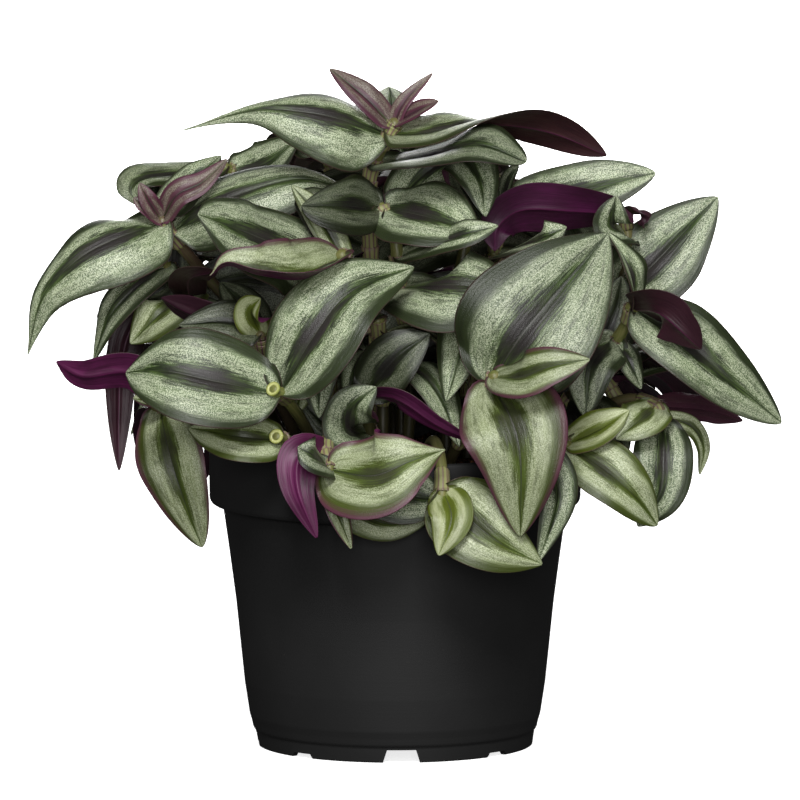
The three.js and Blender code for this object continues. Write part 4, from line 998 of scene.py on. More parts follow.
NEAR_STEMS: dict[str, StemPlan] = {
    "crown": stem(
        (-6, 4),
        ((-6, 0, 134), (-8, -4, 161), (-8, -8, 185), (-3, -12, 197), (0, -13, 203)),
        leaf(28, (0, -0.72, 0.68), (-2, -13, 198), (-17, -20, 205), (-31, -22, 208), (-46, -20, 208),
             (-68, -14, 201), fold=0.1, curl=0.6, point=1.7),
        leaf(27, (0, -0.55, 0.83), (-2, -13, 199), (11, -20, 201), (27, -20, 204), (48, -14, 201),
             (68, -8, 192), twist=-115, tone=Tone.DULL_UNDER),
        leaf(27, (0.1, -0.4, 0.9), (-5, -9, 188), (11, -28, 194), (27, -38, 199), (42, -42, 194), point=0.6,
             tone=Tone.PAINTED_HALF_SHADE),
        leaf(9, (0.3, -0.8, 0.4), (-1, -13, 202), (-8, -14, 210), (-14, -12, 215), (-21, -8, 220), fold=0.4,
             tone=Tone.BUD),
        leaf(5, (-0.4, -0.8, 0.3), (0, -13, 202), (3, -14, 210), (12, -12, 219), fold=0.5, tone=Tone.BUD),
        leaf(7, (-0.1, -0.6, 0.7), (1, -13, 202), (8, -18, 208), (14, -20, 211), fold=0.5, tone=Tone.BUD),
        leaf(15, (0, -0.3, 0.95), (0, -12, 202), (-1, 6, 206), (-2, 26, 210)),
        leaf(25, (-0.3, 0.3, 0.9), (-5, -8, 191), (-14, 10, 199), (-21, 28, 201), (-27, 46, 195),
             tone=Tone.DARK),
        leaf(26, (0.3, 0.4, 0.85), (-8, -5, 181), (10, 8, 188), (26, 22, 187), (38, 36, 176),
             tone=Tone.DARK),
        leaf(16, (0, -0.6, 0.8), (-8, -8, 183), (-16, 4, 183), (-29, 14, 180), tone=Tone.DARK),
        filler(26, (-6, 0, 134), (-26, 8, 146), (-48, 10, 150), (-70, 10, 145)),
        filler(26, (-6, 0, 128), (14, 8, 142), (34, 10, 146), (54, 10, 138)),
        filler(26, (-8, -4, 161), (-28, 8, 168), (-52, 10, 168), (-74, 10, 157)),
        filler(26, (-8, -3, 154), (12, 10, 166), (32, 12, 168), (50, 12, 160)),
        filler(26, (-6, 2, 124), (-4, 12, 140), (-4, 14, 160), (-2, 12, 180)),
        filler(26, (-6, 4, 112), (6, 9, 120), (20, 11, 126), (36, 11, 120)),
        filler(26, (-6, 4, 118), (-18, 9, 122), (-34, 11, 124), (-48, 11, 116)),
        filler(14, (-8, -4, 172), (-2, 6, 178), (7, 9, 184)),
    ),
    "leftTop": stem(
        (-30, 4),
        ((-46, 4, 133), (-60, 0, 151), (-71, -7, 165), (-75, -10, 171)),
        leaf(28, (-0.3, -0.75, 0.6), (-74, -10, 170), (-86, -20, 168), (-101, -24, 161), (-113, -22, 148),
             (-118, -18, 129), fold=0.1, curl=0.5, point=1.3),
        leaf(9, (-0.3, -0.8, 0.4), (-75, -12, 171), (-70, -15, 180), (-62, -14, 184), (-54, -10, 191),
             fold=0.35, tone=Tone.BUD),
        leaf(6, (-0.1, -0.8, 0.5), (-75, -10, 171), (-79, -16, 178), (-82, -16, 184), fold=0.4,
             tone=Tone.BUD),
        leaf(6, (-0.1, -0.7, 0.6), (-76, -10, 171), (-80, -14, 176), (-84, -14, 179), fold=0.4,
             tone=Tone.BUD),
        leaf(27, (0, -0.65, 0.75), (-73, -6, 167), (-63, -8, 173), (-50, -5, 179), (-31, 2, 183),
             (-15, 8, 179), fold=0.1, curl=0.45),
        leaf(15, (-0.3, -0.6, 0.7), (-75, -9, 171), (-66, 0, 182), (-56, 7, 190)),
        leaf(12, (0, -0.9, 0.4), (-74, -8, 169), (-76, 0, 176), (-77, 6, 184), inner=True, tone=Tone.DARK),
    ),
    "leftBack": stem(
        (-22, 20),
        ((-34, 20, 132), (-44, 26, 163), (-52, 26, 180), (-55, 24, 184)),
        leaf(17, (-0.1, -0.45, 0.9), (-54, 24, 182), (-70, 14, 183), (-81, 5, 183), (-85, 0, 180),
             (-83, -2, 175), point=1.1, tone=Tone.RED_UNDER),
        leaf(22, (0, -0.65, 0.75), (-54, 26, 183), (-44, 22, 184), (-31, 18, 194)),
        leaf(9, (0, 0.2, 0.9), (-54, 26, 184), (-47, 44, 185), (-39, 62, 182), tone=Tone.PAINTED_HALF_SHADE),
    ),
    "leftMiddle": stem(
        (-14, -14),
        ((-16, -22, 115), (-14, -28, 138), (-15, -34, 157), (-17, -42, 164)),
        leaf(30, (-0.1, -0.75, 0.65), (-15, -24, 151), (-31, -36, 163), (-45, -46, 171), (-56, -52, 176),
             (-63, -57, 179), fold=0.15, curl=0.3),
        leaf(20, (0, -0.45, 0.9), (-18, -42, 162), (-29, -58, 159), (-43, -64, 161), (-53, -64, 164),
             (-59, -62, 160), fold=1.0, curl=0.1, point=1.5, tone=Tone.BLUSHED),
        leaf(10, (0.1, -0.8, 0.6), (-16, -36, 161), (-24, -34, 175), (-33, -30, 185), fold=0.3,
             tone=Tone.FRESH),
        leaf(10, (0.1, -0.7, 0.7), (-16, -34, 161), (-27, -24, 178), (-19, -22, 177), (-9, -24, 170),
             tone=Tone.DARK),
    ),
    "cutUpper": stem(
        (-24, -33),
        ((-29, -42, 109), (-33, -54, 117), (-36, -60, 121), (-39, -65, 124)),
        leaf(31, (-0.25, -0.85, 0.45), (-37, -60, 124), (-26, -66, 141), (-14, -62, 155), (6, -48, 161)),
        leaf(33, (-0.1, -0.85, 0.5), (-39, -60, 122), (-58, -68, 127), (-74, -66, 130), (-86, -56, 128)),
        cut=True,
    ),
    "cutLower": stem(
        (-31, -41),
        ((-32, -46, 102), (-35, -52, 105), (-38, -60, 108)),
        leaf(19, (-0.1, -0.8, 0.6), (-37, -54, 107), (-50, -60, 108), (-66, -48, 109), tone=Tone.FRESH),
        cut=True,
    ),
    "leftLow": stem(
        (-44, -12),
        ((-53, -15, 103), (-68, -18, 109), (-77, -22, 113)),
        leaf(22, (-0.3, -0.9, 0.3), (-75, -24, 111), (-73, -33, 101), (-69, -36, 88), (-62, -30, 68),
             point=0.75, tone=Tone.BLUSHED),
        leaf(9, (0, -0.6, 0.8), (-75, -22, 112), (-80, -28, 115), (-84, -30, 116), fold=0.5,
             tone=Tone.BLUSHED),
        leaf(14, (0, 0.85, 0.5), (-66, -18, 113), (-84, -13, 122), (-100, -11, 121), (-109, -8, 125),
             tone=Tone.PURPLE_UNDER),
    ),
    "leftFar": stem(
        (-40, 6),
        ((-52, 9, 124), (-66, 7, 143), (-73, 5, 154)),
        leaf(15, (-0.3, -0.6, 0.7), (-69, 5, 158), (-80, -6, 152), (-91, -10, 141), (-97, -4, 125)),
        leaf(22, (-0.3, -0.7, 0.6), (-64, 2, 145), (-74, -14, 143), (-85, -16, 132), tone=Tone.FRESH),
        leaf(11, (0.2, 0.9, 0.3), (-69, 8, 146), (-83, 14, 136), (-88, 12, 123), (-89, 10, 105),
             (-89, 6, 88), tone=Tone.RED_UNDER),
        leaf(12, (0, 0.7, 0.6), (-63, 0, 144), (-66, -22, 154), (-57, -34, 158), tone=Tone.RED_UNDER),
        leaf(14, (0, -0.5, 0.8), (-63, 2, 144), (-59, -20, 143), (-54, -34, 143), tone=Tone.DARK),
        leaf(14, (0, -0.7, 0.7), (-71, 6, 153), (-76, 4, 149), (-80, 4, 144), tone=Tone.DARK),
        leaf(9, (0, -0.8, 0.6), (-71, 2, 152), (-86, 2, 146), (-96, 3, 138), inner=True, tone=Tone.DARK),
        filler(16, (-69, 5, 150), (-71, 6, 158), (-67, 8, 166)),
        filler(14, (-63, 2, 145), (-68, -2, 138), (-72, -4, 129)),
    ),
    "leftInner": stem(
        (-30, -18),
        ((-34, -24, 108), (-41, -34, 126), (-43, -44, 139)),
        leaf(11, (-0.2, -0.8, 0.4), (-43, -44, 140), (-46, -52, 147), (-43, -56, 152), fold=0.5,
             tone=Tone.YOUNG),
        leaf(16, (0, -0.8, 0.6), (-43, -44, 139), (-53, -46, 143), (-69, -46, 142), tone=Tone.DARK),
        leaf(14, (0, 0.6, 0.6), (-43, -40, 137), (-63, -40, 144), (-75, -40, 150), fold=0.5, tone=Tone.RED),
        leaf(14, (0, -0.7, 0.7), (-43, -42, 138), (-49, -36, 147), (-56, -32, 154), tone=Tone.DARK),
    ),
    "centre": stem(
        (4, -10),
        ((5, -12, 119), (2, -18, 147), (0, -20, 167), (-4, -16, 176)),
        leaf(20, (0.2, -0.8, 0.6), (0, -14, 174), (11, -6, 187), (21, -10, 192), (27, -18, 185),
             (29, -22, 174)),
        leaf(28, (0.1, -0.8, 0.6), (-4, -16, 177), (11, -32, 175), (27, -42, 171)),
        leaf(13, (0, -0.7, 0.7), (1, -24, 160), (19, -44, 170), (33, -46, 174)),
        leaf(24, (0, -0.7, 0.7), (-4, -14, 174), (-16, -18, 177), (-30, -12, 176), tone=Tone.DARK),
        leaf(33, (0.1, -0.75, 0.65), (0, -24, 149), (14, -46, 155), (27, -52, 155), (41, -52, 151),
             fold=0.15, curl=0.35),
    ),
    "rightTop": stem(
        (24, 3),
        ((24, 5, 117), (30, 8, 143), (33, 8, 166), (35, 8, 174)),
        leaf(20, (0, -0.9, 0.4), (35, 8, 174), (51, 14, 175), (67, 18, 179), (84, 18, 183), point=0.75),
        leaf(8, (-0.5, -0.5, 0.5), (34, 8, 172), (37, 4, 182), (40, 2, 188), fold=0.5, tone=Tone.PAINTED_HALF_SHADE),
        leaf(16, (0, -0.7, 0.7), (33, 4, 156), (45, -30, 167), (55, -34, 172)),
        leaf(20, (0.2, -0.8, 0.5), (33, 8, 167), (24, 4, 179), (17, 0, 190), tone=Tone.DARK),
    ),
    "rightBack": stem(
        (32, 14),
        ((56, 10, 125), (70, 8, 142), (75, 8, 158), (74, 8, 171)),
        leaf(14, (0, -0.8, 0.5), (75, 4, 162), (70, -12, 170), (71, -16, 180), fold=0.5),
        leaf(8, (0, 0.5, 0.8), (73, 8, 171), (79, 0, 173), (80, -4, 168), tone=Tone.RED),
        leaf(28, (0, -0.9, 0.45), (71, 8, 143), (82, 4, 154), (92, 8, 164), (104, 12, 176)),
        leaf(18, (0, 0.85, 0.4), (71, 8, 171), (57, -6, 174), (41, -11, 175), (33, -15, 170),
             (32, -15, 162), tone=Tone.VIOLET_UNDER),
        filler(20, (70, 8, 142), (63, 12, 156), (57, 12, 166), (54, 12, 178)),
    ),
    "right": stem(
        (39, -4),
        ((53, -10, 110), (66, -16, 126), (73, -22, 137), (76, -28, 145)),
        leaf(26, (0.3, -0.8, 0.5), (77, -27, 148), (91, -35, 137), (106, -35, 124), (124, -28, 108),
             point=0.75),
        leaf(18, (0.1, 0.8, 0.5), (77, -30, 146), (84, -43, 146), (91, -46, 141), (98, -44, 134),
             tone=Tone.RED_UNDER),
        leaf(13, (0.8, -0.5, 0.3), (76, -28, 144), (75, -34, 158), (68, -30, 170), fold=0.7),
        leaf(17, (0, -0.9, 0.4), (71, -20, 134), (63, -36, 128), (61, -38, 111)),
        leaf(9, (0.4, -0.8, 0.3), (71, -20, 134), (75, -28, 128), (79, -28, 119), tone=Tone.PAINTED_HALF_SHADE),
        filler(22, (53, -10, 110), (60, -2, 112), (72, 2, 112), (86, 2, 112)),
        filler(18, (66, -16, 126), (68, -6, 134), (71, -2, 142), (73, -2, 152)),
        filler(22, (53, -10, 112), (57, -16, 110), (61, -18, 104), (64, -18, 94)),
        filler(20, (58, -12, 110), (66, -16, 106), (73, -18, 101), (79, -18, 94)),
    ),
    "rightMiddle": stem(
        (18, -32),
        ((23, -40, 107), (27, -52, 116), (30, -60, 124), (32, -64, 128)),
        leaf(45, (0.15, -0.85, 0.5), (29, -62, 125), (40, -68, 141), (53, -62, 156), (68, -50, 172)),
        leaf(16, (0, -0.85, 0.5), (31, -66, 125), (40, -80, 130), (50, -85, 134), (62, -84, 136), fold=0.3,
             tone=Tone.BLUSHED),
        leaf(34, (0, -0.95, 0.3), (30, -62, 125), (37, -78, 116), (40, -82, 103), (40, -77, 78),
             tone=Tone.BLUSHED),
        leaf(16, (0.2, -0.9, 0.3), (24, -42, 108), (43, -60, 102), (52, -68, 91), (46, -69, 69)),
    ),
    "overRim": stem(
        (9, -44),
        ((12, -50, 105), (14, -60, 103), (15, -67, 97), (15, -70, 90)),
        leaf(27, (-0.1, -0.9, 0.4), (15, -68, 92), (23, -73, 84), (33, -75, 76), (47, -69, 68), point=0.9,
             tone=Tone.FRESH),
        leaf(14, (0, -0.95, 0.3), (15, -69, 92), (18, -76, 84), (14, -77, 72), tone=Tone.LIME),
    ),
    "lowRight": stem(
        (35, -29),
        ((42, -36, 107), (50, -42, 107), (55, -46, 103)),
        leaf(20, (0.1, -0.85, 0.5), (54, -44, 102), (65, -54, 98), (75, -57, 90), (84, -51, 78), point=0.75,
             tone=Tone.FRESH),
        leaf(13, (0, -0.8, 0.6), (56, -44, 103), (66, -50, 109), (75, -50, 115), fold=0.5, tone=Tone.YOUNG),
    ),
    "farRight": stem(
        (48, -10),
        ((62, -12, 108), (75, -16, 114), (84, -20, 112), (86, -23, 108)),
        leaf(19, (0.1, -0.9, 0.3), (86, -23, 107), (86, -33, 98), (85, -35, 86), (78, -32, 75)),
        leaf(16, (0, -0.8, 0.6), (83, -20, 111), (79, -34, 110), (71, -38, 104), tone=Tone.FRESH),
        leaf(6, (0.5, -0.8, 0.2), (86, -22, 109), (95, -21, 106), (99, -19, 99), (98, -18, 90),
             tone=Tone.FRESH),
        leaf(14, (0.1, -0.5, 0.8), (84, -18, 111), (99, -12, 110), (112, -8, 106), tone=Tone.RED),
    ),
    "lowFront": stem(
        (-16, -42),
        ((-20, -50, 106), (-22, -58, 104), (-21, -66, 98)),
        leaf(31, (0, -0.85, 0.5), (-20, -66, 98), (-7, -80, 98), (5, -82, 103), (16, -77, 106), point=1.3,
             tone=Tone.BLUSHED),
        leaf(8, (0.3, -0.9, 0.2), (-20, -67, 97), (-19, -75, 88), (-14, -76, 74), tone=Tone.BLUSHED),
        leaf(13, (0.1, 0.95, 0.2), (-23, -60, 103), (-30, -68, 103), (-31, -73, 93), (-25, -73, 77),
             tone=Tone.PURPLE_UNDER),
        leaf(14, (0, -0.8, 0.6), (-21, -68, 101), (-26, -77, 104), (-31, -78, 107), tone=Tone.PAINTED_HALF_SHADE),
        leaf(22, (0, -0.9, 0.4), (-19, -62, 101), (3, -70, 91), (16, -72, 89)),
        leaf(14, (0, -0.95, 0.2), (-21, -66, 98), (-14, -69, 87), (-2, -69, 81), (12, -69, 83),
             tone=Tone.FRESH),
    ),
    "frontInner": stem(
        (-6, -29),
        ((-8, -34, 105), (-9, -42, 113), (-10, -47, 120)),
        leaf(18, (0.1, -0.9, 0.4), (-8, -38, 102), (-14, -50, 109), (-13, -54, 117), (-6, -53, 123),
             tone=Tone.PAINTED_HALF_SHADE),
        leaf(9, (0.1, 0.7, 0.7), (-9, -46, 119), (0, -56, 120), (13, -58, 112), (25, -58, 106),
             tone=Tone.DUSKY_UNDER),
        leaf(18, (0, -0.9, 0.4), (-10, -46, 119), (0, -52, 132), (11, -52, 140), tone=Tone.DARK),
        leaf(14, (-0.2, -0.8, 0.5), (-8, -34, 106), (-20, -40, 108), (-30, -44, 117), tone=Tone.DARK),
    ),
}


@dataclass(frozen=True)
class Tier:
    """A tier of stems that fan out from the soil by rule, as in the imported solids."""

    name: str
    angles: tuple[int, ...]
    root: float
    knee: float
    reach: float
    rise: float
    end: float
    leaves: int
    long: float


TIERS = (
    Tier("farLow", (4, 34, 62, 90, 118, 146, 176), 44, 54, 74, 24, 12, 4, 54),
    Tier("farMiddle", (-10, 22, 56, 90, 124, 158), 31, 42, 60, 54, 60, 5, 54),
    Tier("farTop", (30, 80, 128), 18, 22, 36, 76, 88, 5, 54),
    Tier("inner", (-150, -96, -50, -16), 24, 24, 34, 34, 42, 4, 38),
)


@dataclass(frozen=True)
class StemRule:
    """The rule that the far and inner stems follow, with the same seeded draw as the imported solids.

    A pair of numbers is a size's least value and the range that is drawn above it.
    """

    seed: int = 41
    stem_shake: float = 8.0
    knee_rise: float = 0.55
    leafless: float = 0.58
    side_swing: float = 58.0
    first_swing: float = 1.1
    swing_fall: float = 0.8
    swing_shake: float = 16.0
    long: Pair = (0.84, 0.28)
    end_leaf_long: float = 0.75
    droop: Pair = (0.3, 0.25)
    reaches: tuple[float, ...] = (0.34, 0.66, 0.9)
    lifts: tuple[float, ...] = (0.1, 0.08, 0.04)
    droop_shares: tuple[float, ...] = (0.0, 0.3, 1.0)
    wide: Pair = (0.46, 0.08)
    faces_out: float = 0.6
    faces_up: float = 0.8
    fresh_stride: int = 7
    fresh_every: int = 5

    def stems(self) -> dict[str, StemPlan]:
        """Every stem that follows the rule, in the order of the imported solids."""
        draw = RuleDraw(self.seed)
        return {
            f"{tier.name}{number + 1}": self.stem(tier, angle, draw)
            for tier in TIERS
            for number, angle in enumerate(tier.angles)
        }

    def stem(self, tier: Tier, angle: float, draw: RuleDraw) -> StemPlan:
        """A stem that rises, leans outwards and bears leaves in two ranks.

        Args:
            tier: The tier that it belongs to.
            angle: Its direction round the pot in degrees.
            draw: The seeded draw.

        Returns:
            The stem's plan.
        """
        turn = math.radians(angle + self.stem_shake * (draw() - 0.5))

        def at(radius: float, height: float) -> Point:
            """The point at a distance from the pot's axis and a height."""
            return (radius * math.cos(turn), radius * math.sin(turn), height)

        end = StemSizes.upright + tier.end + self.stem_shake * (draw() - 0.5)
        line = (
            at(tier.knee, StemSizes.upright + tier.rise * self.knee_rise),
            at((tier.knee + tier.reach) / 2, StemSizes.upright + tier.rise),
            at(tier.reach, end),
        )
        root = at(tier.root, 0)[:2]
        curve = StemPlan(root, line, ()).curve()
        leaves = []
        for number in range(tier.leaves):
            part = (number + 1) / tier.leaves
            foot = curve.points(np.array([self.leafless + (1 - self.leafless) * part]))[0]
            rank = 1 if number % 2 == 0 else -1
            swing = rank * self.side_swing * (self.first_swing - self.swing_fall * part)
            way = turn + math.radians(swing + self.swing_shake * (draw() - 0.5))
            fresh = (number * self.fresh_stride + int(abs(angle))) % self.fresh_every == 0
            tone = Tone.FRESH if fresh else Tone.SILVER
            long = tier.long * self.drawn(self.long, draw) * (1 if part < 1 else self.end_leaf_long)
            leaves.append(self.leaf(foot, way, long, tone, draw))
        return StemPlan(root, line, tuple(leaves))

    def leaf(self, foot: Array, way: float, long: float, tone: Tone, draw: RuleDraw) -> LeafPlan:
        """A leaf that reaches out and droops at its tip.

        Args:
            foot: Its first point, on the stem.
            way: Its direction round the pot in radians.
            long: Its length.
            tone: How it is coloured.
            draw: The seeded draw.

        Returns:
            The leaf's plan.
        """
        droop = self.drawn(self.droop, draw)
        rib = [tuple(foot)]
        for reach, lift, share in zip(self.reaches, self.lifts, self.droop_shares):
            step = np.array([reach * math.cos(way), reach * math.sin(way), lift - droop * share])
            rib.append(tuple(foot + long * step))
        faces = (self.faces_out * math.cos(way), self.faces_out * math.sin(way), self.faces_up)
        return LeafPlan(tuple(rib), faces, long * self.drawn(self.wide, draw), ruled=True, tone=tone)

    @staticmethod
    def drawn(size: Pair, draw: RuleDraw) -> float:
        """A size between its least value and the end of its range."""
        least, over = size
        return least + over * draw()


class FinishNumber(IntEnum):
    """The finishes of a leafy stem, in the order of its material slots."""

    LEAF_UPPER = 0
    LEAF_UNDER = 1
    STEM = 2
    SHEATH = 3
    CUT = 4
    HAIR = 5


@dataclass(frozen=True)
class Blade:
    """One leaf blade in its place on its stem.

    The midrib is a smooth line. At each place on it the blade reaches to both sides by a width that has
    broad shoulders and a drawn-out tip. Its halves lift from the midrib and their margins come down.
    """

    plan: LeafPlan
    foot: Array
    move: Move
    chance: float = 0.5
    half_columns: tuple[float, ...] = (
        0.0, 0.02, 0.055, 0.11, 0.19, 0.29, 0.4, 0.52, 0.64, 0.76, 0.86, 0.94, 0.98, 1.0
    )
    rows: int = 40
    even_rows: float = 0.3
    bunched_rows: float = 0.7
    half_thickness: float = 0.3
    edge_half_thickness: float = 0.1
    edge_power: int = 6
    thin_tip: float = 0.2
    tip_thickness: float = 0.35
    clasp: float = 2.1
    clasp_reach: float = 0.05
    least_roll: float = 1e-4
    soft_midrib: float = 0.05
    relief_from_foot: float = 0.1
    relief_from_tip: float = 0.25
    groove_depth: float = 0.35
    groove_half_width: float = 0.7
    pleat_height: float = 0.07
    pleats: float = 1.3
    wave_height: float = 0.035
    least_waves: float = 1.6
    more_waves: float = 0.8
    wave_offset: float = 1.7
    foot_power: int = 4

    def line(self) -> SmoothLine:
        """The midrib from the foot, after the move."""
        steps = (np.array(self.plan.rib[1:], float) - self.foot) * self.move.share
        steps = turned(steps, UPRIGHT, np.array(math.radians(self.move.swing)))
        return SmoothLine(np.vstack([self.foot, steps + self.foot]))

    def half_width(self, s: Array) -> Array:
        """Half the blade's width.

        It is half the leaf's width times the place to the power of the shoulder and what is left of the way
        to the power of the point, each over its value at the widest place. A foot as wide as the sheath
        fades along the blade, and the tip keeps a little width.

        Args:
            s: The places along, from 0 at the foot to 1 at the tip.

        Returns:
            The half widths in millimetres.
        """
        wide = self.plan.wide * self.move.share
        shoulder, point = StemSizes.shoulder_power, self.plan.point
        peak = shoulder / (shoulder + point)
        shape = (s / peak) ** shoulder * ((1 - s) / (1 - peak)) ** point
        foot = StemSizes.sheath_half_width * (1 - s) ** self.foot_power
        return wide / 2 * shape + foot + StemSizes.tip_half_width * s

    def frames(self, s: Array) -> tuple[Array, Array, Array]:
        """The midrib's points, and the sideways and upward directions, at places along it.

        Upward is the way that the leaf faces, squared to the midrib and turned about it by the twist.

        Args:
            s: The places along, from 0 to 1.

        Returns:
            The points, the sideways directions and the upward directions.
        """
        line = self.line()
        along = line.directions(s)
        way = self.plan.faces if self.plan.ruled else StemSizes.near_bend_way
        middle = line.points(s) + unit(np.array(way, float)) * self.move.bend * s[:, None]
        up = turned(np.array([self.plan.faces], float), UPRIGHT, np.array([math.radians(self.move.swing)]))
        up = unit(up - np.sum(up * along, axis=1, keepdims=True) * along)
        up = turned(up, along, math.radians(self.plan.twist) * s**StemSizes.twist_power)
        return middle, np.cross(along, up), up

    def corner_points(self, s: Array) -> Array:
        """The coarse blade's middle and margins at places along it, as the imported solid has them."""
        middle, side, up = self.frames(s)
        h = self.half_width(s)[:, None]
        lift = h * (self.plan.fold - self.plan.curl)
        return np.vstack([middle, middle + side * h + up * lift, middle - side * h + up * lift])

    def surface(self) -> Surface:
        """The finished blade as a closed shell.

        Across the blade the height is the width times (fold |t| - curl t squared), rounded at the midrib,
        less a groove along the midrib, plus fine pleats along the veins and a slow wave at the margins.
        Near the foot the blade is rolled into an arc that clasps the stem.

        Returns:
            The surface, with the finish of the underside below and that of the upper face elsewhere.
        """
        rows = np.linspace(0, 1, self.rows)
        s = self.even_rows * rows + self.bunched_rows * (0.5 - 0.5 * np.cos(math.pi * rows))
        half = np.array(self.half_columns)
        t = np.concatenate([-half[:0:-1], half])
        middle, side, up = self.frames(s)
        h = self.half_width(s)[:, None]
        roll = self.clasp * np.exp(-((s / self.clasp_reach) ** 2))[:, None] + self.least_roll
        lift = self._lift(s, t, h, roll)
        reach = h * np.sin(roll * t[None, :]) / roll
        skin = middle[:, None, :] + side[:, None, :] * reach[..., None] + up[:, None, :] * lift[..., None]
        offset = self._normals(skin) * self._thickness(s, t)[..., None]
        return self._closed((skin + offset).reshape(-1, 3), (skin - offset).reshape(-1, 3), s, t)

    def _lift(self, s: Array, t: Array, h: Array, roll: Array) -> Array:
        """How far the blade stands off the plane through its midrib, at each place.

        Args:
            s: The places along, from 0 to 1.
            t: The places across, from -1 to 1.
            h: Half the width at each place along.
            roll: How many radians each half is rolled round the stem at each place along.

        Returns:
            The heights in millimetres, one row for each place along.
        """
        far = np.abs(t)[None, :]
        phase = self.chance * FULL_TURN
        soft_far = np.sqrt(far**2 + self.soft_midrib**2) - self.soft_midrib
        lift = h * (self.plan.fold * soft_far - self.plan.curl * far**2) * (1 - roll / self.clasp)
        lift += h * (1 - np.cos(roll * far)) / roll
        body = np.clip(s / self.relief_from_foot, 0, 1) * np.clip((1 - s) / self.relief_from_tip, 0, 1)
        body = body[:, None]
        lift -= self.groove_depth * np.exp(-((far * h / self.groove_half_width) ** 2)) * body
        pleats = np.cos(far * self.plan.wide * self.pleats + phase)
        lift += self.pleat_height * pleats * body * (1 - far**4)
        turns = FULL_TURN * (self.least_waves + self.more_waves * self.chance) * s[:, None]
        waves = np.sin(turns + phase + self.wave_offset * np.sign(t)[None, :])
        return lift + h * self.wave_height * far**2 * waves * body

    def _thickness(self, s: Array, t: Array) -> Array:
        """Half the blade's thickness at each place: thinner at the margins and at the tip."""
        inner = self.half_thickness - self.edge_half_thickness
        across = self.edge_half_thickness + inner * (1 - np.abs(t) ** self.edge_power)
        towards_tip = np.clip((1 - s) / self.thin_tip, 0, 1)
        return (self.tip_thickness + (1 - self.tip_thickness) * towards_tip)[:, None] * across[None, :]

    @staticmethod
    def _normals(skin: Array) -> Array:
        """Unit normals of a grid of points, from the steps along and across it."""
        along = np.gradient(skin, axis=0)
        across = np.gradient(skin, axis=1)
        return unit(np.cross(across, along))

    def _closed(self, top: Array, under: Array, s: Array, t: Array) -> Surface:
        """Joins the two faces of the blade along its edges and adds what the finishes read.

        Args:
            top: The upper face's points.
            under: The underside's points.
            s: The places along, from 0 to 1.
            t: The places across, from -1 to 1.

        Returns:
            The closed blade.
        """
        rows, columns = len(s), len(t)
        count = rows * columns
        upper = grid_quads(rows, columns)
        lower = upper[:, ::-1] + count
        left = np.arange(rows - 1) * columns
        right = left + columns - 1
        base = np.arange(columns - 1)
        tip = base + (rows - 1) * columns
        walls = np.vstack([
            np.stack([left, left + columns, left + columns + count, left + count], axis=1),
            np.stack([right + columns, right, right + count, right + columns + count], axis=1),
            np.stack([base + 1, base, base + count, base + 1 + count], axis=1),
            np.stack([tip, tip + 1, tip + 1 + count, tip + count], axis=1),
        ])
        across, along = np.meshgrid(t, s)
        chance = np.full(count, self.chance)
        long = self.line().length()
        blade = np.stack([across.ravel(), along.ravel(), chance], axis=1)
        flow = np.stack(
            [across.ravel() * self.plan.wide / 2, along.ravel() * long, chance * PATTERN_OFFSET], axis=1
        )
        youth, blush, shade, wine = self.plan.tone.value
        return Surface(
            np.vstack([top, under]),
            quads=np.vstack([upper, lower, walls]),
            quad_finish=np.repeat(
                [FinishNumber.LEAF_UPPER, FinishNumber.LEAF_UNDER, FinishNumber.LEAF_UPPER],
                [len(upper), len(lower), len(walls)],
            ),
            blade=np.vstack([blade, blade]),
            flow=np.vstack([flow, flow]),
            tone=(youth, blush, shade),
            wine=wine,
        )


@dataclass(frozen=True)
class Tube:
    """A round body along a line of points, with its own radius at each of them."""

    sides: int = 14
    first_way: Point = (0.31, 0.87, 0.38)
    pattern_half_round: float = 6.0
    least_length: float = 1e-6

    def surface(
        self,
        centres: Array,
        directions: Array,
        radii: Array,
        finish: int,
        tone: Sequence[float],
        chance: float,
    ) -> Surface:
        """Rings of points round the line, squared to it, with a fan closing each end.

        A ring's first direction is that of the ring before, less its part along the line.

        Args:
            centres: The line's points.
            directions: The unit directions there.
            radii: The radii there.
            finish: The finish number.
            tone: Youth, blush and painted shade.
            chance: A number from 0 to 1 that shifts the pattern.

        Returns:
            The closed tube.
        """
        rings = len(centres)
        first = np.cross(directions[0], self.first_way)
        reference = np.tile(unit(first), (rings, 1))
        for ring in range(1, rings):
            carried = reference[ring - 1] - np.dot(reference[ring - 1], directions[ring]) * directions[ring]
            reference[ring] = unit(carried)
        other = np.cross(directions, reference)
        angles = np.linspace(0, FULL_TURN, self.sides, endpoint=False)
        ring_way = reference[:, None] * np.cos(angles)[:, None] + other[:, None] * np.sin(angles)[:, None]
        points = centres[:, None] + ring_way * radii[:, None, None]
        count = rings * self.sides
        everything = np.vstack([points.reshape(-1, 3), centres[:1], centres[-1:]])
        travelled = np.concatenate([[0], np.cumsum(np.linalg.norm(np.diff(centres, axis=0), axis=1))])
        round_way = np.tile(np.abs(np.arange(self.sides) / self.sides * 2 - 1), rings)
        along = np.repeat(travelled / max(travelled[-1], self.least_length), self.sides)
        blade = np.stack([round_way, along, np.full(count, chance)], axis=1)
        round_mm = round_way * self.pattern_half_round
        offset = np.full(count, chance * PATTERN_OFFSET)
        millimetres = np.stack([round_mm, np.repeat(travelled, self.sides), offset], axis=1)
        return Surface(
            everything,
            quads=grid_quads(rings, self.sides, closed=True),
            triangles=end_fans(rings, self.sides),
            quad_finish=finish,
            triangle_finish=finish,
            blade=np.vstack([blade, blade[:1], blade[-1:]]),
            flow=np.vstack([millimetres, millimetres[:1], millimetres[-1:]]),
            tone=tone,
        )


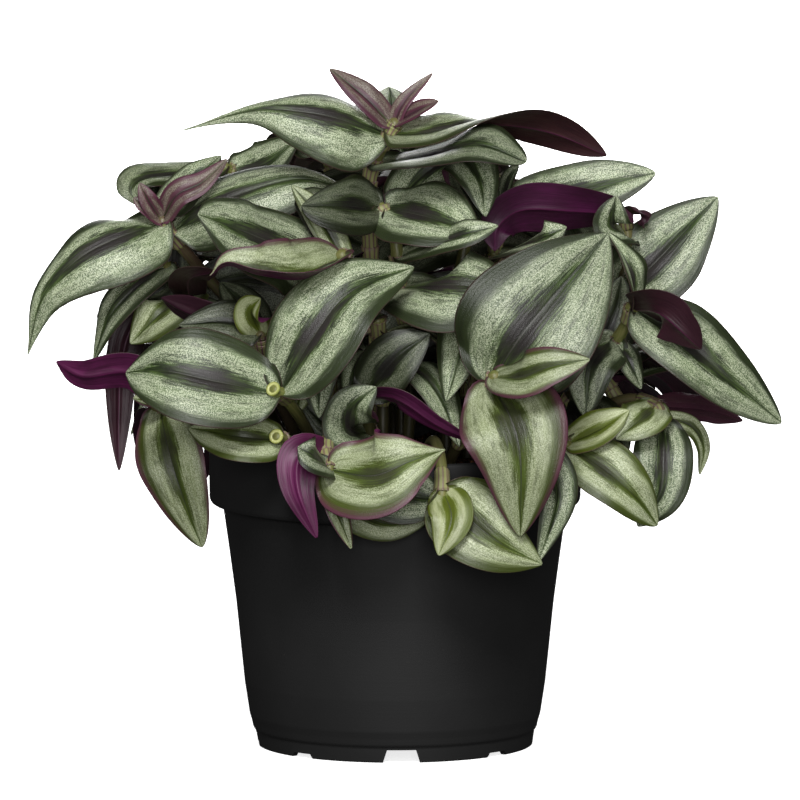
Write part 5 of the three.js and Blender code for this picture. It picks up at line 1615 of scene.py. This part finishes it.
@dataclass
class LeafyStem:
    """One stem with its sheaths, hairs and leaves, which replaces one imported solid."""

    name: str
    plan: StemPlan
    origin: Array
    seed: int
    fit_limit: float = 1.6
    near_rows: int = 40
    ruled_rows: int = 30
    blush_over_leaves: float = 0.35
    chance_step: float = 0.137
    stem_rings: int = 44
    joint_swell: float = 0.45
    joint_length: float = 2.2
    end_rings: int = 4
    end_length: float = 0.8
    end_point_share: float = 0.002
    cut_sides: int = 18
    cut_out: tuple[float, ...] = (1.0, 1.04, 0.94, 0.7, 0.42, 0.2)
    cut_depth: tuple[float, ...] = (-0.8, 0.1, 0.3, 0.12, -0.1, -0.5)
    sheath_sides: int = 18
    sheath_rings: int = 9
    sheath_length: float = 7.5
    sheath_past_joint: float = 0.8
    sheath_flare: float = 0.54
    sheath_gap: float = 0.12
    sheath_foot_sunk: float = 0.1
    sheath_lip: float = 0.25
    sheath_wall: float = 0.2
    hairs_per_sheath: int = 12
    hair_length: float = 2.2
    hair_radius: float = 0.05
    hair_stand_off: float = 0.7
    hair_past_joint: float = 0.5
    hair_out: float = 0.7
    hair_up: float = 0.8
    hair_shake: float = 0.25
    hair_lengths: Pair = (0.5, 1.0)
    hair_first_way: Point = (0.3, 0.8, 0.5)
    hair_nudge: float = 0.01
    compared_corners: tuple[int, ...] = (1, 2, 4)

    def node(self) -> str:
        """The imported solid's name."""
        return f"stem_{self.name}"

    def solid_points(self, node: SceneObject) -> Array:
        """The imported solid's vertices in millimetres from the pot's axis."""
        flat = np.empty(len(node.data.vertices) * 3, np.float32)
        node.data.vertices.foreach_get("co", flat)
        return flat.reshape(-1, 3) / MM - self.origin

    def foot_of(self, curve: SmoothLine, planned: LeafPlan) -> tuple[Array, float]:
        """The point of the stem nearest to the leaf's first point, and its place along the stem."""
        places = np.linspace(StemSizes.lowest_leaf, 1, StemSizes.foot_places + 1)
        points = curve.points(places)
        nearest = int(np.argmin(np.linalg.norm(points - np.array(planned.rib[0], float), axis=1)))
        return points[nearest], float(places[nearest])

    def moves(self, planned: LeafPlan) -> list[Move]:
        """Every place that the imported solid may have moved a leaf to.

        Args:
            planned: The leaf.

        Returns:
            The moves, in the order that the solid tries them.
        """
        if not planned.ruled:
            shares = StemSizes.ruled_shares if planned.inner else (1,)
            return [Move(bend=bend, share=share) for share in shares for bend in StemSizes.near_bends]
        return [
            Move(bend, swing, share)
            for share in StemSizes.ruled_shares
            for swing in StemSizes.ruled_swings
            for bend in StemSizes.ruled_bends
        ]

    def placed(self, planned: LeafPlan, foot: Array, solid: Array, chance: float) -> Blade | None:
        """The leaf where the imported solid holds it, or None where the solid left it out.

        Each place that the leaf may have moved to is compared with the solid's vertices: its tip, and its
        margins on the last row before the tip.

        Args:
            planned: The leaf.
            foot: Its first point, on the stem.
            solid: The solid's vertices.
            chance: A number from 0 to 1 that shifts the pattern.

        Returns:
            The blade that fits best, or None.
        """
        if planned.ruled:
            rows, last_row = self.ruled_rows, StemSizes.ruled_last_row
        else:
            rows = self.near_rows
            last_row = next(row for wide, row in StemSizes.near_last_rows if planned.wide >= wide)
        best, best_gap = None, self.fit_limit
        for move in self.moves(planned):
            blade = Blade(planned, foot, move, chance, rows=rows)
            corners = blade.corner_points(np.array([last_row, 1.0]))[list(self.compared_corners)]
            gaps = np.linalg.norm(corners[:, None] - solid[None], axis=2).min(axis=1)
            gap = float(gaps.mean())
            if gap < best_gap:
                best, best_gap = blade, gap
        return best

    def stem_surface(self, curve: SmoothLine, places: Sequence[float], tone: Sequence[float]) -> Surface:
        """The stem: a round tube with a rounded or a cut end.

        It swells at each joint by a bell curve of the distance from it. A rounded end is a quarter circle.

        Args:
            curve: The stem's line.
            places: The joints' places along it.
            tone: Youth, blush and painted shade.

        Returns:
            The tube.
        """
        s = np.linspace(0, 1, self.stem_rings)
        radii = np.full(len(s), StemSizes.radius)
        long = curve.length()
        for place in places:
            radii += self.joint_swell * np.exp(-(((s - place) * long / self.joint_length) ** 2))
        radii = np.minimum(radii, StemSizes.radius + self.joint_swell)
        centres, directions = curve.points(s), curve.directions(s)
        if not self.plan.cut:
            bulge = np.sin(np.linspace(0, math.pi / 2, self.end_rings + 1))[1:]
            beyond = directions[-1] * radii[-1] * bulge[:, None] * self.end_length
            centres = np.vstack([centres, centres[-1] + beyond])
            directions = np.vstack([directions, np.tile(directions[-1], (self.end_rings, 1))])
            shrunk = np.sqrt(np.maximum(1 - bulge**2, self.end_point_share))
            radii = np.concatenate([radii, radii[-1] * shrunk])
        chance = self.seed * self.chance_step % 1
        return Tube().surface(centres, directions, radii, FinishNumber.STEM, tone, chance)

    def cut_surface(self, curve: SmoothLine) -> Surface:
        """The cut face of a stem: rings that sink a little towards a hollow in the middle.

        Args:
            curve: The stem's line.

        Returns:
            The disc that closes the line's end.
        """
        end = curve.points(np.array([1.0]))[0]
        way = curve.directions(np.array([1.0]))[0]
        out = np.array(self.cut_out)
        centres = end + way * np.array(self.cut_depth)[:, None]
        directions = np.tile(way, (len(out), 1))
        radii = (StemSizes.radius + self.joint_swell) * out
        tube = Tube(sides=self.cut_sides)
        disc = tube.surface(centres, directions, radii, FinishNumber.CUT, (0, 0, 0), 0.5)
        disc.blade[:, 0] = np.append(np.repeat(out, self.cut_sides), [1.0, 0.0])
        return disc

    def sheath_surface(
        self, curve: SmoothLine, place: float, tone: Sequence[float], chance: float
    ) -> Surface:
        """The sleeve below a leaf's foot, which widens as the cube of the place and is closed inside.

        Args:
            curve: The stem's line.
            place: The foot's place along it.
            tone: Youth, blush and painted shade.
            chance: A number from 0 to 1 that shifts the pattern.

        Returns:
            The sleeve.
        """
        before = np.linspace(self.sheath_length, -self.sheath_past_joint, self.sheath_rings)
        s = np.clip(place - before / curve.length(), 0.0, 1.0)
        grown = np.linspace(0, 1, self.sheath_rings)
        radii = StemSizes.radius + self.sheath_gap + self.joint_swell + self.sheath_flare * grown**3
        radii[0] = StemSizes.radius - self.sheath_foot_sunk
        centres, directions = curve.points(s), curve.directions(s)
        step = directions[-1] * self.sheath_lip
        centres = np.vstack([centres, centres[-1:] + step, centres[-1:] - step])
        directions = np.vstack([directions, directions[-1:], directions[-1:]])
        radii = np.append(radii, [radii[-1] - self.sheath_wall, StemSizes.radius - self.sheath_wall])
        tube = Tube(sides=self.sheath_sides)
        return tube.surface(centres, directions, radii, FinishNumber.SHEATH, tone, chance)

    def hair_surface(self, feet: Sequence[tuple[Array, Array]], draw: np.random.Generator) -> Surface:
        """Hairs round each sheath's mouth: thin three-sided spikes that lean out and along the stem.

        Args:
            feet: Each leaf's foot and the stem's direction there.
            draw: The stem's seeded draw.

        Returns:
            The hairs of every sheath.
        """
        count = self.hairs_per_sheath
        centres = np.repeat(np.array([foot for foot, _ in feet]), count, axis=0)
        ways = np.repeat(np.array([way for _, way in feet]), count, axis=0)
        angles = draw.uniform(0, FULL_TURN, len(centres))
        side = unit(np.cross(ways, self.hair_first_way))
        out = turned(side, ways, angles)
        roots = centres + out * (StemSizes.radius + self.hair_stand_off) + ways * self.hair_past_joint
        shake = draw.normal(0, self.hair_shake, out.shape)
        lean = unit(out * self.hair_out + ways * self.hair_up + shake)
        tips = roots + lean * draw.uniform(*self.hair_lengths, len(roots))[:, None] * self.hair_length
        first = unit(np.cross(lean, ways + self.hair_nudge))
        second = np.cross(lean, first)
        corners = [
            roots + self.hair_radius * (first * math.cos(a) + second * math.sin(a))
            for a in (0, FULL_TURN / 3, FULL_TURN * 2 / 3)
        ]
        points = np.stack([*corners, tips], axis=1).reshape(-1, 3)
        one = np.array([[0, 1, 3], [1, 2, 3], [2, 0, 3], [0, 2, 1]])
        triangles = (one[None] + 4 * np.arange(len(roots))[:, None, None]).reshape(-1, 3)
        return Surface(points, triangles=triangles, triangle_finish=FinishNumber.HAIR)

    def build(self, node: SceneObject, finishes: Sequence[Material]) -> SceneObject:
        """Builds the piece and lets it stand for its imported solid.

        Args:
            node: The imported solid.
            finishes: The materials in the order of the finish numbers.

        Returns:
            The finished piece.
        """
        draw = np.random.default_rng(self.seed)
        solid = self.solid_points(node)
        curve = self.plan.curve()
        tones = [planned.tone.value for planned in self.plan.leaves]
        blush = float(np.clip(np.mean([tone[1] for tone in tones]) + self.blush_over_leaves, 0, 1))
        tone = (0.0, blush, 0.0)
        parts: list[Surface] = []
        feet: list[tuple[Array, Array]] = []
        places: list[float] = []
        for planned in self.plan.leaves:
            foot, place = self.foot_of(curve, planned)
            chance = float(draw.uniform())
            blade = self.placed(planned, foot, solid, chance)
            if blade is None:
                LOG.info("%s has no solid leaf at %s", self.name, np.round(foot))
                continue
            parts.append(blade.surface())
            places.append(place)
            feet.append((foot, curve.directions(np.array([place]))[0]))
            parts.append(self.sheath_surface(curve, place, tone, chance))
        parts.append(self.stem_surface(curve, places, tone))
        if self.plan.cut:
            parts.append(self.cut_surface(curve))
        parts.append(self.hair_surface(feet, draw))
        surface = Surface.joined(parts)
        piece = mesh_object(f"leafy_stem_{self.name}", surface, finishes, self.origin)
        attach(piece, "root")
        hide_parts(self.node())
        LOG.info("%s: %d leaves, %d triangles", piece.name, len(places), surface.triangle_count())
        return piece


# Pot


@dataclass
class NurseryPot:
    """The moulded pot: a thin turned wall with a deep rim band, an arched foot ring and drain holes."""

    origin: Array
    segments: int = 168
    wall: float = 1.4
    foot_radius: float = 44.4
    foot_wall: float = 2.2
    foot_flare: float = 0.6
    foot_height: float = 4.8
    floor_top: float = 7.0
    arches: int = 8
    big_arch: Point = (12.6, 4.2, 0.74)
    small_arch: Point = (10.0, 1.5, 0.7)
    arch_turn: float = 2.7
    arch_depth: Pair = (39.4, 49.4)
    arch_below: float = 1.0
    drain_holes: int = 6
    drain_radius: float = 3.2
    drain_circle: float = 30.0
    drain_heights: Pair = (3.0, 9.0)
    drain_sides: int = 24
    corner_radius: float = 0.5
    corner_share: float = 0.45
    corner_steps: int = 5
    sharp_angle: float = 32.0
    outside: tuple[Pair, ...] = (
        (45.7, 5.7), (46.2, 7.9), (46.9, 10.2), (47.4, 13.5), (48.5, 20.7), (49.85, 33.7), (51.2, 46.7),
        (53.3, 62.5), (55.5, 78.0), (59.3, 79.0), (59.8, 80.2), (60.0, 96.3), (60.0, 97.9), (59.1, 98.5),
    )
    inside: tuple[Pair, ...] = (
        (57.9, 98.5), (57.3, 97.5), (57.2, 81.0), (54.1, 78.0), (49.8, 46.7), (47.1, 20.7), (45.5, 11.2),
    )
    floor_edge: float = 44.1

    def profile(self) -> Array:
        """The wall's outline from the underside's middle, up the outside and down to the floor's middle.

        Returns:
            Radius and height, one point a row.
        """
        floor_bottom = self.floor_top - self.wall
        foot_inside = self.foot_radius - self.foot_wall
        outline = [
            (0, floor_bottom), (foot_inside, floor_bottom), (foot_inside, 0), (self.foot_radius, 0),
            (self.foot_radius + self.foot_flare, self.foot_height),
            *self.outside,
            *self.inside,
            (self.floor_edge, self.floor_top), (0, self.floor_top),
        ]
        return self._rounded(np.array(outline, float))

    def _rounded(self, outline: Array) -> Array:
        """The outline with each corner replaced by a short square curve that leans towards the corner.

        Args:
            outline: Radius and height, one corner a row.

        Returns:
            Radius and height, one point a row.
        """
        rounded = [outline[:1]]
        w = np.linspace(0, 1, self.corner_steps)[:, None]
        for before, corner, after in zip(outline[:-2], outline[1:-1], outline[2:]):
            reach_back = min(self.corner_radius, np.linalg.norm(before - corner) * self.corner_share)
            reach_on = min(self.corner_radius, np.linalg.norm(after - corner) * self.corner_share)
            start = corner + unit(before - corner) * reach_back
            end = corner + unit(after - corner) * reach_on
            rounded.append((1 - w) ** 2 * start + 2 * w * (1 - w) * corner + w**2 * end)
        rounded.append(outline[-1:])
        return np.vstack(rounded)

    def shell(self) -> Surface:
        """The outline turned about the pot's axis, with a point closing each end.

        Returns:
            The closed shell.
        """
        profile = self.profile()
        ring = profile[1:-1]
        angles = np.linspace(0, FULL_TURN, self.segments, endpoint=False)
        radius, height = ring[:, :1], ring[:, 1:]
        heights = np.broadcast_to(height, (len(ring), self.segments))
        points = np.stack([radius * np.cos(angles), radius * np.sin(angles), heights], axis=2).reshape(-1, 3)
        ends = np.array([[0, 0, profile[0, 1]], [0, 0, profile[-1, 1]]])
        quads = grid_quads(len(ring), self.segments, closed=True)
        return Surface(
            np.vstack([points, ends]), quads=quads, triangles=end_fans(len(ring), self.segments)
        )

    def cutters(self) -> Surface:
        """The blocks that cut the arches through the foot ring and the round holes through the floor.

        Returns:
            The blocks and round bars.
        """
        parts = []
        block = np.array(
            [[0, 1, 2, 3], [7, 6, 5, 4], [0, 4, 5, 1], [1, 5, 6, 2], [2, 6, 7, 3], [3, 7, 4, 0]]
        )
        for number in range(self.arches):
            wide, high, top = self.big_arch if number % 2 == 0 else self.small_arch
            half = wide / 2
            below = -self.arch_below
            ring = np.array([(-half, below), (half, below), (half * top, high), (-half * top, high)])
            points = np.array([(x, y, z) for y in self.arch_depth for x, z in ring])
            angle = np.array(FULL_TURN * number / self.arches + math.radians(self.arch_turn))
            parts.append(Surface(turned(points, UPRIGHT, angle), quads=block))
        for number in range(self.drain_holes):
            angle = FULL_TURN * (number + 0.5) / self.drain_holes
            centre = np.array([self.drain_circle * math.cos(angle), self.drain_circle * math.sin(angle), 0])
            centres = centre + np.array(self.drain_heights)[:, None] * UPRIGHT
            radii = np.full(2, self.drain_radius)
            tube = Tube(sides=self.drain_sides)
            parts.append(tube.surface(centres, np.tile(UPRIGHT, (2, 1)), radii, 0, (0, 0, 0), 0.5))
        return Surface.joined(parts)

    def build(self, finish: Material) -> SceneObject:
        """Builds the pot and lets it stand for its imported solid.

        Args:
            finish: The plastic.

        Returns:
            The finished piece.
        """
        piece = mesh_object("nursery_pot", self.shell(), [finish], self.origin)
        tool = mesh_object("pot_cutters", self.cutters(), [finish], self.origin)
        cut = piece.modifiers.new("arches", "BOOLEAN")
        cut.operation = "DIFFERENCE"
        cut.solver = "EXACT"
        cut.object = tool
        depsgraph = bpy.context.evaluated_depsgraph_get()
        mesh = bpy.data.meshes.new_from_object(piece.evaluated_get(depsgraph))
        piece.modifiers.clear()
        piece.data = mesh
        bpy.data.objects.remove(tool)
        mesh.polygons.foreach_set("use_smooth", np.ones(len(mesh.polygons), dtype=bool))
        mesh.set_sharp_from_angle(angle=math.radians(self.sharp_angle))
        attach(piece, "root")
        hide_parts("pot")
        LOG.info("%s: %d faces", piece.name, len(mesh.polygons))
        return piece


# Soil


@dataclass
class PottingSoil:
    """The plug of peat: a rough crumbled top with loose crumbs, inside the pot."""

    origin: Array
    seed: int = 7
    rings: int = 46
    segments: int = 150
    top_radius: float = 56.4
    edge_top: float = 92.6
    middle_top: float = 94.4
    bottom: float = 7.4
    crumbs: int = 1500
    crumb_size: Pair = (0.5, 1.5)
    waves: tuple[Pair, ...] = (
        (23.0, 0.5), (11.0, 0.45), (6.1, 0.35), (3.3, 0.25), (1.9, 0.16),
    )
    first_turn: float = 0.9
    turn_step: float = 1.7
    top_drop: float = 0.7
    ring_power: float = 0.9
    roughness: float = 0.22
    side: tuple[Pair, ...] = (
        (56.3, 81.6), (53.4, 78.0), (49.1, 46.7), (46.4, 20.7), (43.1, 7.5), (20.0, 7.4),
    )
    crumb_margin: float = 1.5
    crumb_rise: float = 0.3
    crumb_squash: Pair = (0.6, 1.3)

    def top_height(self, x: Array, y: Array) -> Array:
        """The top's height: a low dome plus sines of several wavelengths that cross at odd angles.

        Args:
            x: How far right of the pot's axis.
            y: How far behind it.

        Returns:
            The heights.
        """
        radius = np.hypot(x, y)
        height = self.middle_top - (self.middle_top - self.edge_top) * (radius / self.top_radius) ** 2
        for number, (wave, size) in enumerate(self.waves):
            turn = self.first_turn + self.turn_step * number
            along = FULL_TURN / wave * (x * math.cos(turn) + y * math.sin(turn))
            across = FULL_TURN / wave * (y * math.cos(turn) - x * math.sin(turn))
            height = height + size * np.sin(along) * np.sin(across + number)
        return height - self.top_drop

    def plug(self) -> Surface:
        """The plug: its top in rings that grow by a power, then its side down to a flat bottom.

        Returns:
            The closed plug.
        """
        draw = np.random.default_rng(self.seed)
        radii = self.top_radius * np.linspace(0, 1, self.rings + 1)[1:] ** self.ring_power
        angles = np.linspace(0, FULL_TURN, self.segments, endpoint=False)
        x = radii[:, None] * np.cos(angles)
        y = radii[:, None] * np.sin(angles)
        z = self.top_height(x, y) + draw.normal(0, self.roughness, x.shape)
        top = np.stack([x, y, z], axis=2)
        side = np.array(self.side)
        ring = np.stack([np.cos(angles), np.sin(angles)], axis=1)
        heights = np.broadcast_to(side[:, None, 1:], (len(side), self.segments, 1))
        wall = np.concatenate([side[:, None, :1] * ring, heights], axis=2)
        rows = np.vstack([top.reshape(-1, 3), wall.reshape(-1, 3)])
        middle = np.array([[0, 0, self.top_height(np.zeros(1), np.zeros(1))[0]], [0, 0, self.bottom]])
        count = self.rings + len(side)
        quads = grid_quads(count, self.segments, closed=True)[:, ::-1]
        triangles = end_fans(count, self.segments)[:, ::-1]
        return Surface(np.vstack([rows, middle]), quads=quads, triangles=triangles)

    def crumb_surface(self) -> Surface:
        """Loose crumbs: eight-faced lumps, each squashed and turned its own way, half sunk in the top.

        Returns:
            The crumbs.
        """
        draw = np.random.default_rng(self.seed + 1)
        radius = (self.top_radius - self.crumb_margin) * np.sqrt(draw.uniform(0, 1, self.crumbs))
        angle = draw.uniform(0, FULL_TURN, self.crumbs)
        x, y = radius * np.cos(angle), radius * np.sin(angle)
        centres = np.stack([x, y, self.top_height(x, y) + self.crumb_rise], axis=1)
        shape = np.array([[1, 0, 0], [-1, 0, 0], [0, 1, 0], [0, -1, 0], [0, 0, 1], [0, 0, -1]], float)
        faces = np.array(
            [[0, 2, 4], [2, 1, 4], [1, 3, 4], [3, 0, 4], [2, 0, 5], [1, 2, 5], [3, 1, 5], [0, 3, 5]]
        )
        size = draw.uniform(*self.crumb_size, self.crumbs)
        squash = draw.uniform(*self.crumb_squash, (self.crumbs, len(shape), 1))
        points = shape[None] * squash * size[:, None, None]
        turns = np.broadcast_to(draw.uniform(0, math.pi, self.crumbs)[:, None], (self.crumbs, 6))
        axes = np.broadcast_to(unit(draw.normal(0, 1, (self.crumbs, 3)))[:, None], (self.crumbs, 6, 3))
        points = turned(points, axes, turns) + centres[:, None]
        triangles = (faces[None] + 6 * np.arange(self.crumbs)[:, None, None]).reshape(-1, 3)
        return Surface(points.reshape(-1, 3), triangles=triangles)

    def build(self, finish: Material) -> SceneObject:
        """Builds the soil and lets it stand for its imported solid.

        Args:
            finish: The peat.

        Returns:
            The finished piece.
        """
        surface = Surface.joined([self.plug(), self.crumb_surface()])
        piece = mesh_object("potting_soil", surface, [finish], self.origin)
        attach(piece, "root")
        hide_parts("soil")
        LOG.info("%s: %d triangles", piece.name, surface.triangle_count())
        return piece


# Studio


@dataclass(frozen=True)
class SoftLight:
    """A square soft light: its place and aim in metres, its side, its power and whether gloss mirrors it."""

    name: str
    place: Point
    aim: Point
    size: float
    power: float
    mirrored: bool = True

    def build(self) -> None:
        """Hangs the light in the scene."""
        data = bpy.data.lights.new(self.name, "AREA")
        data.shape = "SQUARE"
        data.size = self.size
        data.energy = self.power
        lamp = bpy.data.objects.new(self.name, data)
        lamp.location = self.place
        lamp.visible_glossy = self.mirrored
        aim = np.array(self.aim) - np.array(self.place)
        lamp.rotation_euler = Vector(aim).to_track_quat("-Z", "Y").to_euler()
        bpy.context.scene.collection.objects.link(lamp)


@dataclass(frozen=True)
class Studio:
    """The plain white studio: floor, soft lights, even surroundings and the camera."""

    floor_half: float = 14.0
    frame_width: float = 0.2577
    distance: float = 8.0
    elevation: float = 7.7
    sensor: float = 36.0
    aim_x: float = 0.0016
    aim_z: float = 0.1116
    surroundings: float = 0.035
    lights: tuple[SoftLight, ...] = (
        SoftLight("key", (-0.02, -1.4, 1.4), (0, 0, 0.12), 0.6, 27.5),
        SoftLight("front", (0.04, -2.1, 0.45), (0, 0, 0.1), 0.8, 20.0),
        SoftLight("left", (-1.8, 0.7, 0.6), (0, 0, 0.1), 0.8, 10.0, mirrored=False),
        SoftLight("right", (1.8, 0.7, 0.6), (0, 0, 0.1), 0.8, 10.0, mirrored=False),
        SoftLight("rear", (0.1, 1.9, 0.7), (0, 0, 0.1), 1.0, 34.0, mirrored=False),
        SoftLight("rear_low", (0.0, 2.1, 0.45), (0, 0, 0.1), 0.8, 9.0),
    )

    def build(self, origin: Array) -> None:
        """Builds the studio round the plant.

        Args:
            origin: Where the pot's axis meets the ground, in millimetres in the frame.
        """
        self._floor()
        for light in self.lights:
            light.build()
        self._world()
        self._camera(origin)

    def _floor(self) -> None:
        """Lays a wide square sheet at ground level."""
        half = self.floor_half / MM
        corners = np.array([[-half, -half, 0], [half, -half, 0], [half, half, 0], [-half, half, 0]])
        sheet = Surface(corners, quads=np.array([[0, 1, 2, 3]]))
        floor = mesh_object("floor", sheet, [StudioPaper().material()], np.zeros(3))
        floor.visible_diffuse = False
        floor.visible_glossy = False

    def _world(self) -> None:
        """Surrounds the plant with even white: full to the eye, weaker as light."""
        world = bpy.data.worlds.new("studio")
        bpy.context.scene.world = world
        world.use_nodes = True
        nodes, links = world.node_tree.nodes, world.node_tree.links
        seen = nodes.new("ShaderNodeBackground")
        seen.inputs["Color"].default_value = (1, 1, 1, 1)
        seen.inputs["Strength"].default_value = 1.0
        lit = nodes["Background"]
        lit.inputs["Color"].default_value = (1, 1, 1, 1)
        lit.inputs["Strength"].default_value = self.surroundings
        path = nodes.new("ShaderNodeLightPath")
        mix = nodes.new("ShaderNodeMixShader")
        links.new(path.outputs["Is Camera Ray"], mix.inputs[0])
        links.new(lit.outputs[0], mix.inputs[1])
        links.new(seen.outputs[0], mix.inputs[2])
        links.new(mix.outputs[0], nodes["World Output"].inputs["Surface"])

    def _camera(self, origin: Array) -> None:
        """Places the camera in front, a little above, far off with a long lens.

        Args:
            origin: Where the pot's axis meets the ground, in millimetres in the frame.
        """
        data = bpy.data.cameras.new("camera")
        data.sensor_width = self.sensor
        data.lens = self.sensor * self.distance / self.frame_width
        data.clip_end = 100.0
        camera = bpy.data.objects.new("camera", data)
        tilt = math.radians(self.elevation)
        aim = np.array([origin[0] * MM + self.aim_x, origin[1] * MM, self.aim_z])
        camera.location = aim + self.distance * np.array([0, -math.cos(tilt), math.sin(tilt)])
        camera.rotation_euler = (math.pi / 2 - tilt, 0, 0)
        bpy.context.scene.collection.objects.link(camera)
        bpy.context.scene.camera = camera


def main() -> None:
    """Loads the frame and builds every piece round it."""
    logging.basicConfig(level=logging.INFO, format="%(message)s")
    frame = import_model()
    low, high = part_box("pot")
    origin = np.array([(low.x + high.x) / 2, (low.y + high.y) / 2, 0.0]) / MM
    bpy.context.scene.view_settings.view_transform = "Standard"
    finishes = [
        finish.material()
        for finish in (LeafUpper(), LeafUnder(), StemSkin(), SheathSkin(), CutFlesh(), PaleHair())
    ]
    NurseryPot(origin).build(PotPlastic().material())
    PottingSoil(origin).build(Peat().material())
    for number, (name, plan) in enumerate({**NEAR_STEMS, **StemRule().stems()}.items()):
        leafy = LeafyStem(name, plan, origin, seed=FIRST_STEM_SEED + number)
        leafy.build(frame["nodes"][leafy.node()], finishes)
    Studio().build(origin)


if __name__ == "__main__":
    main()
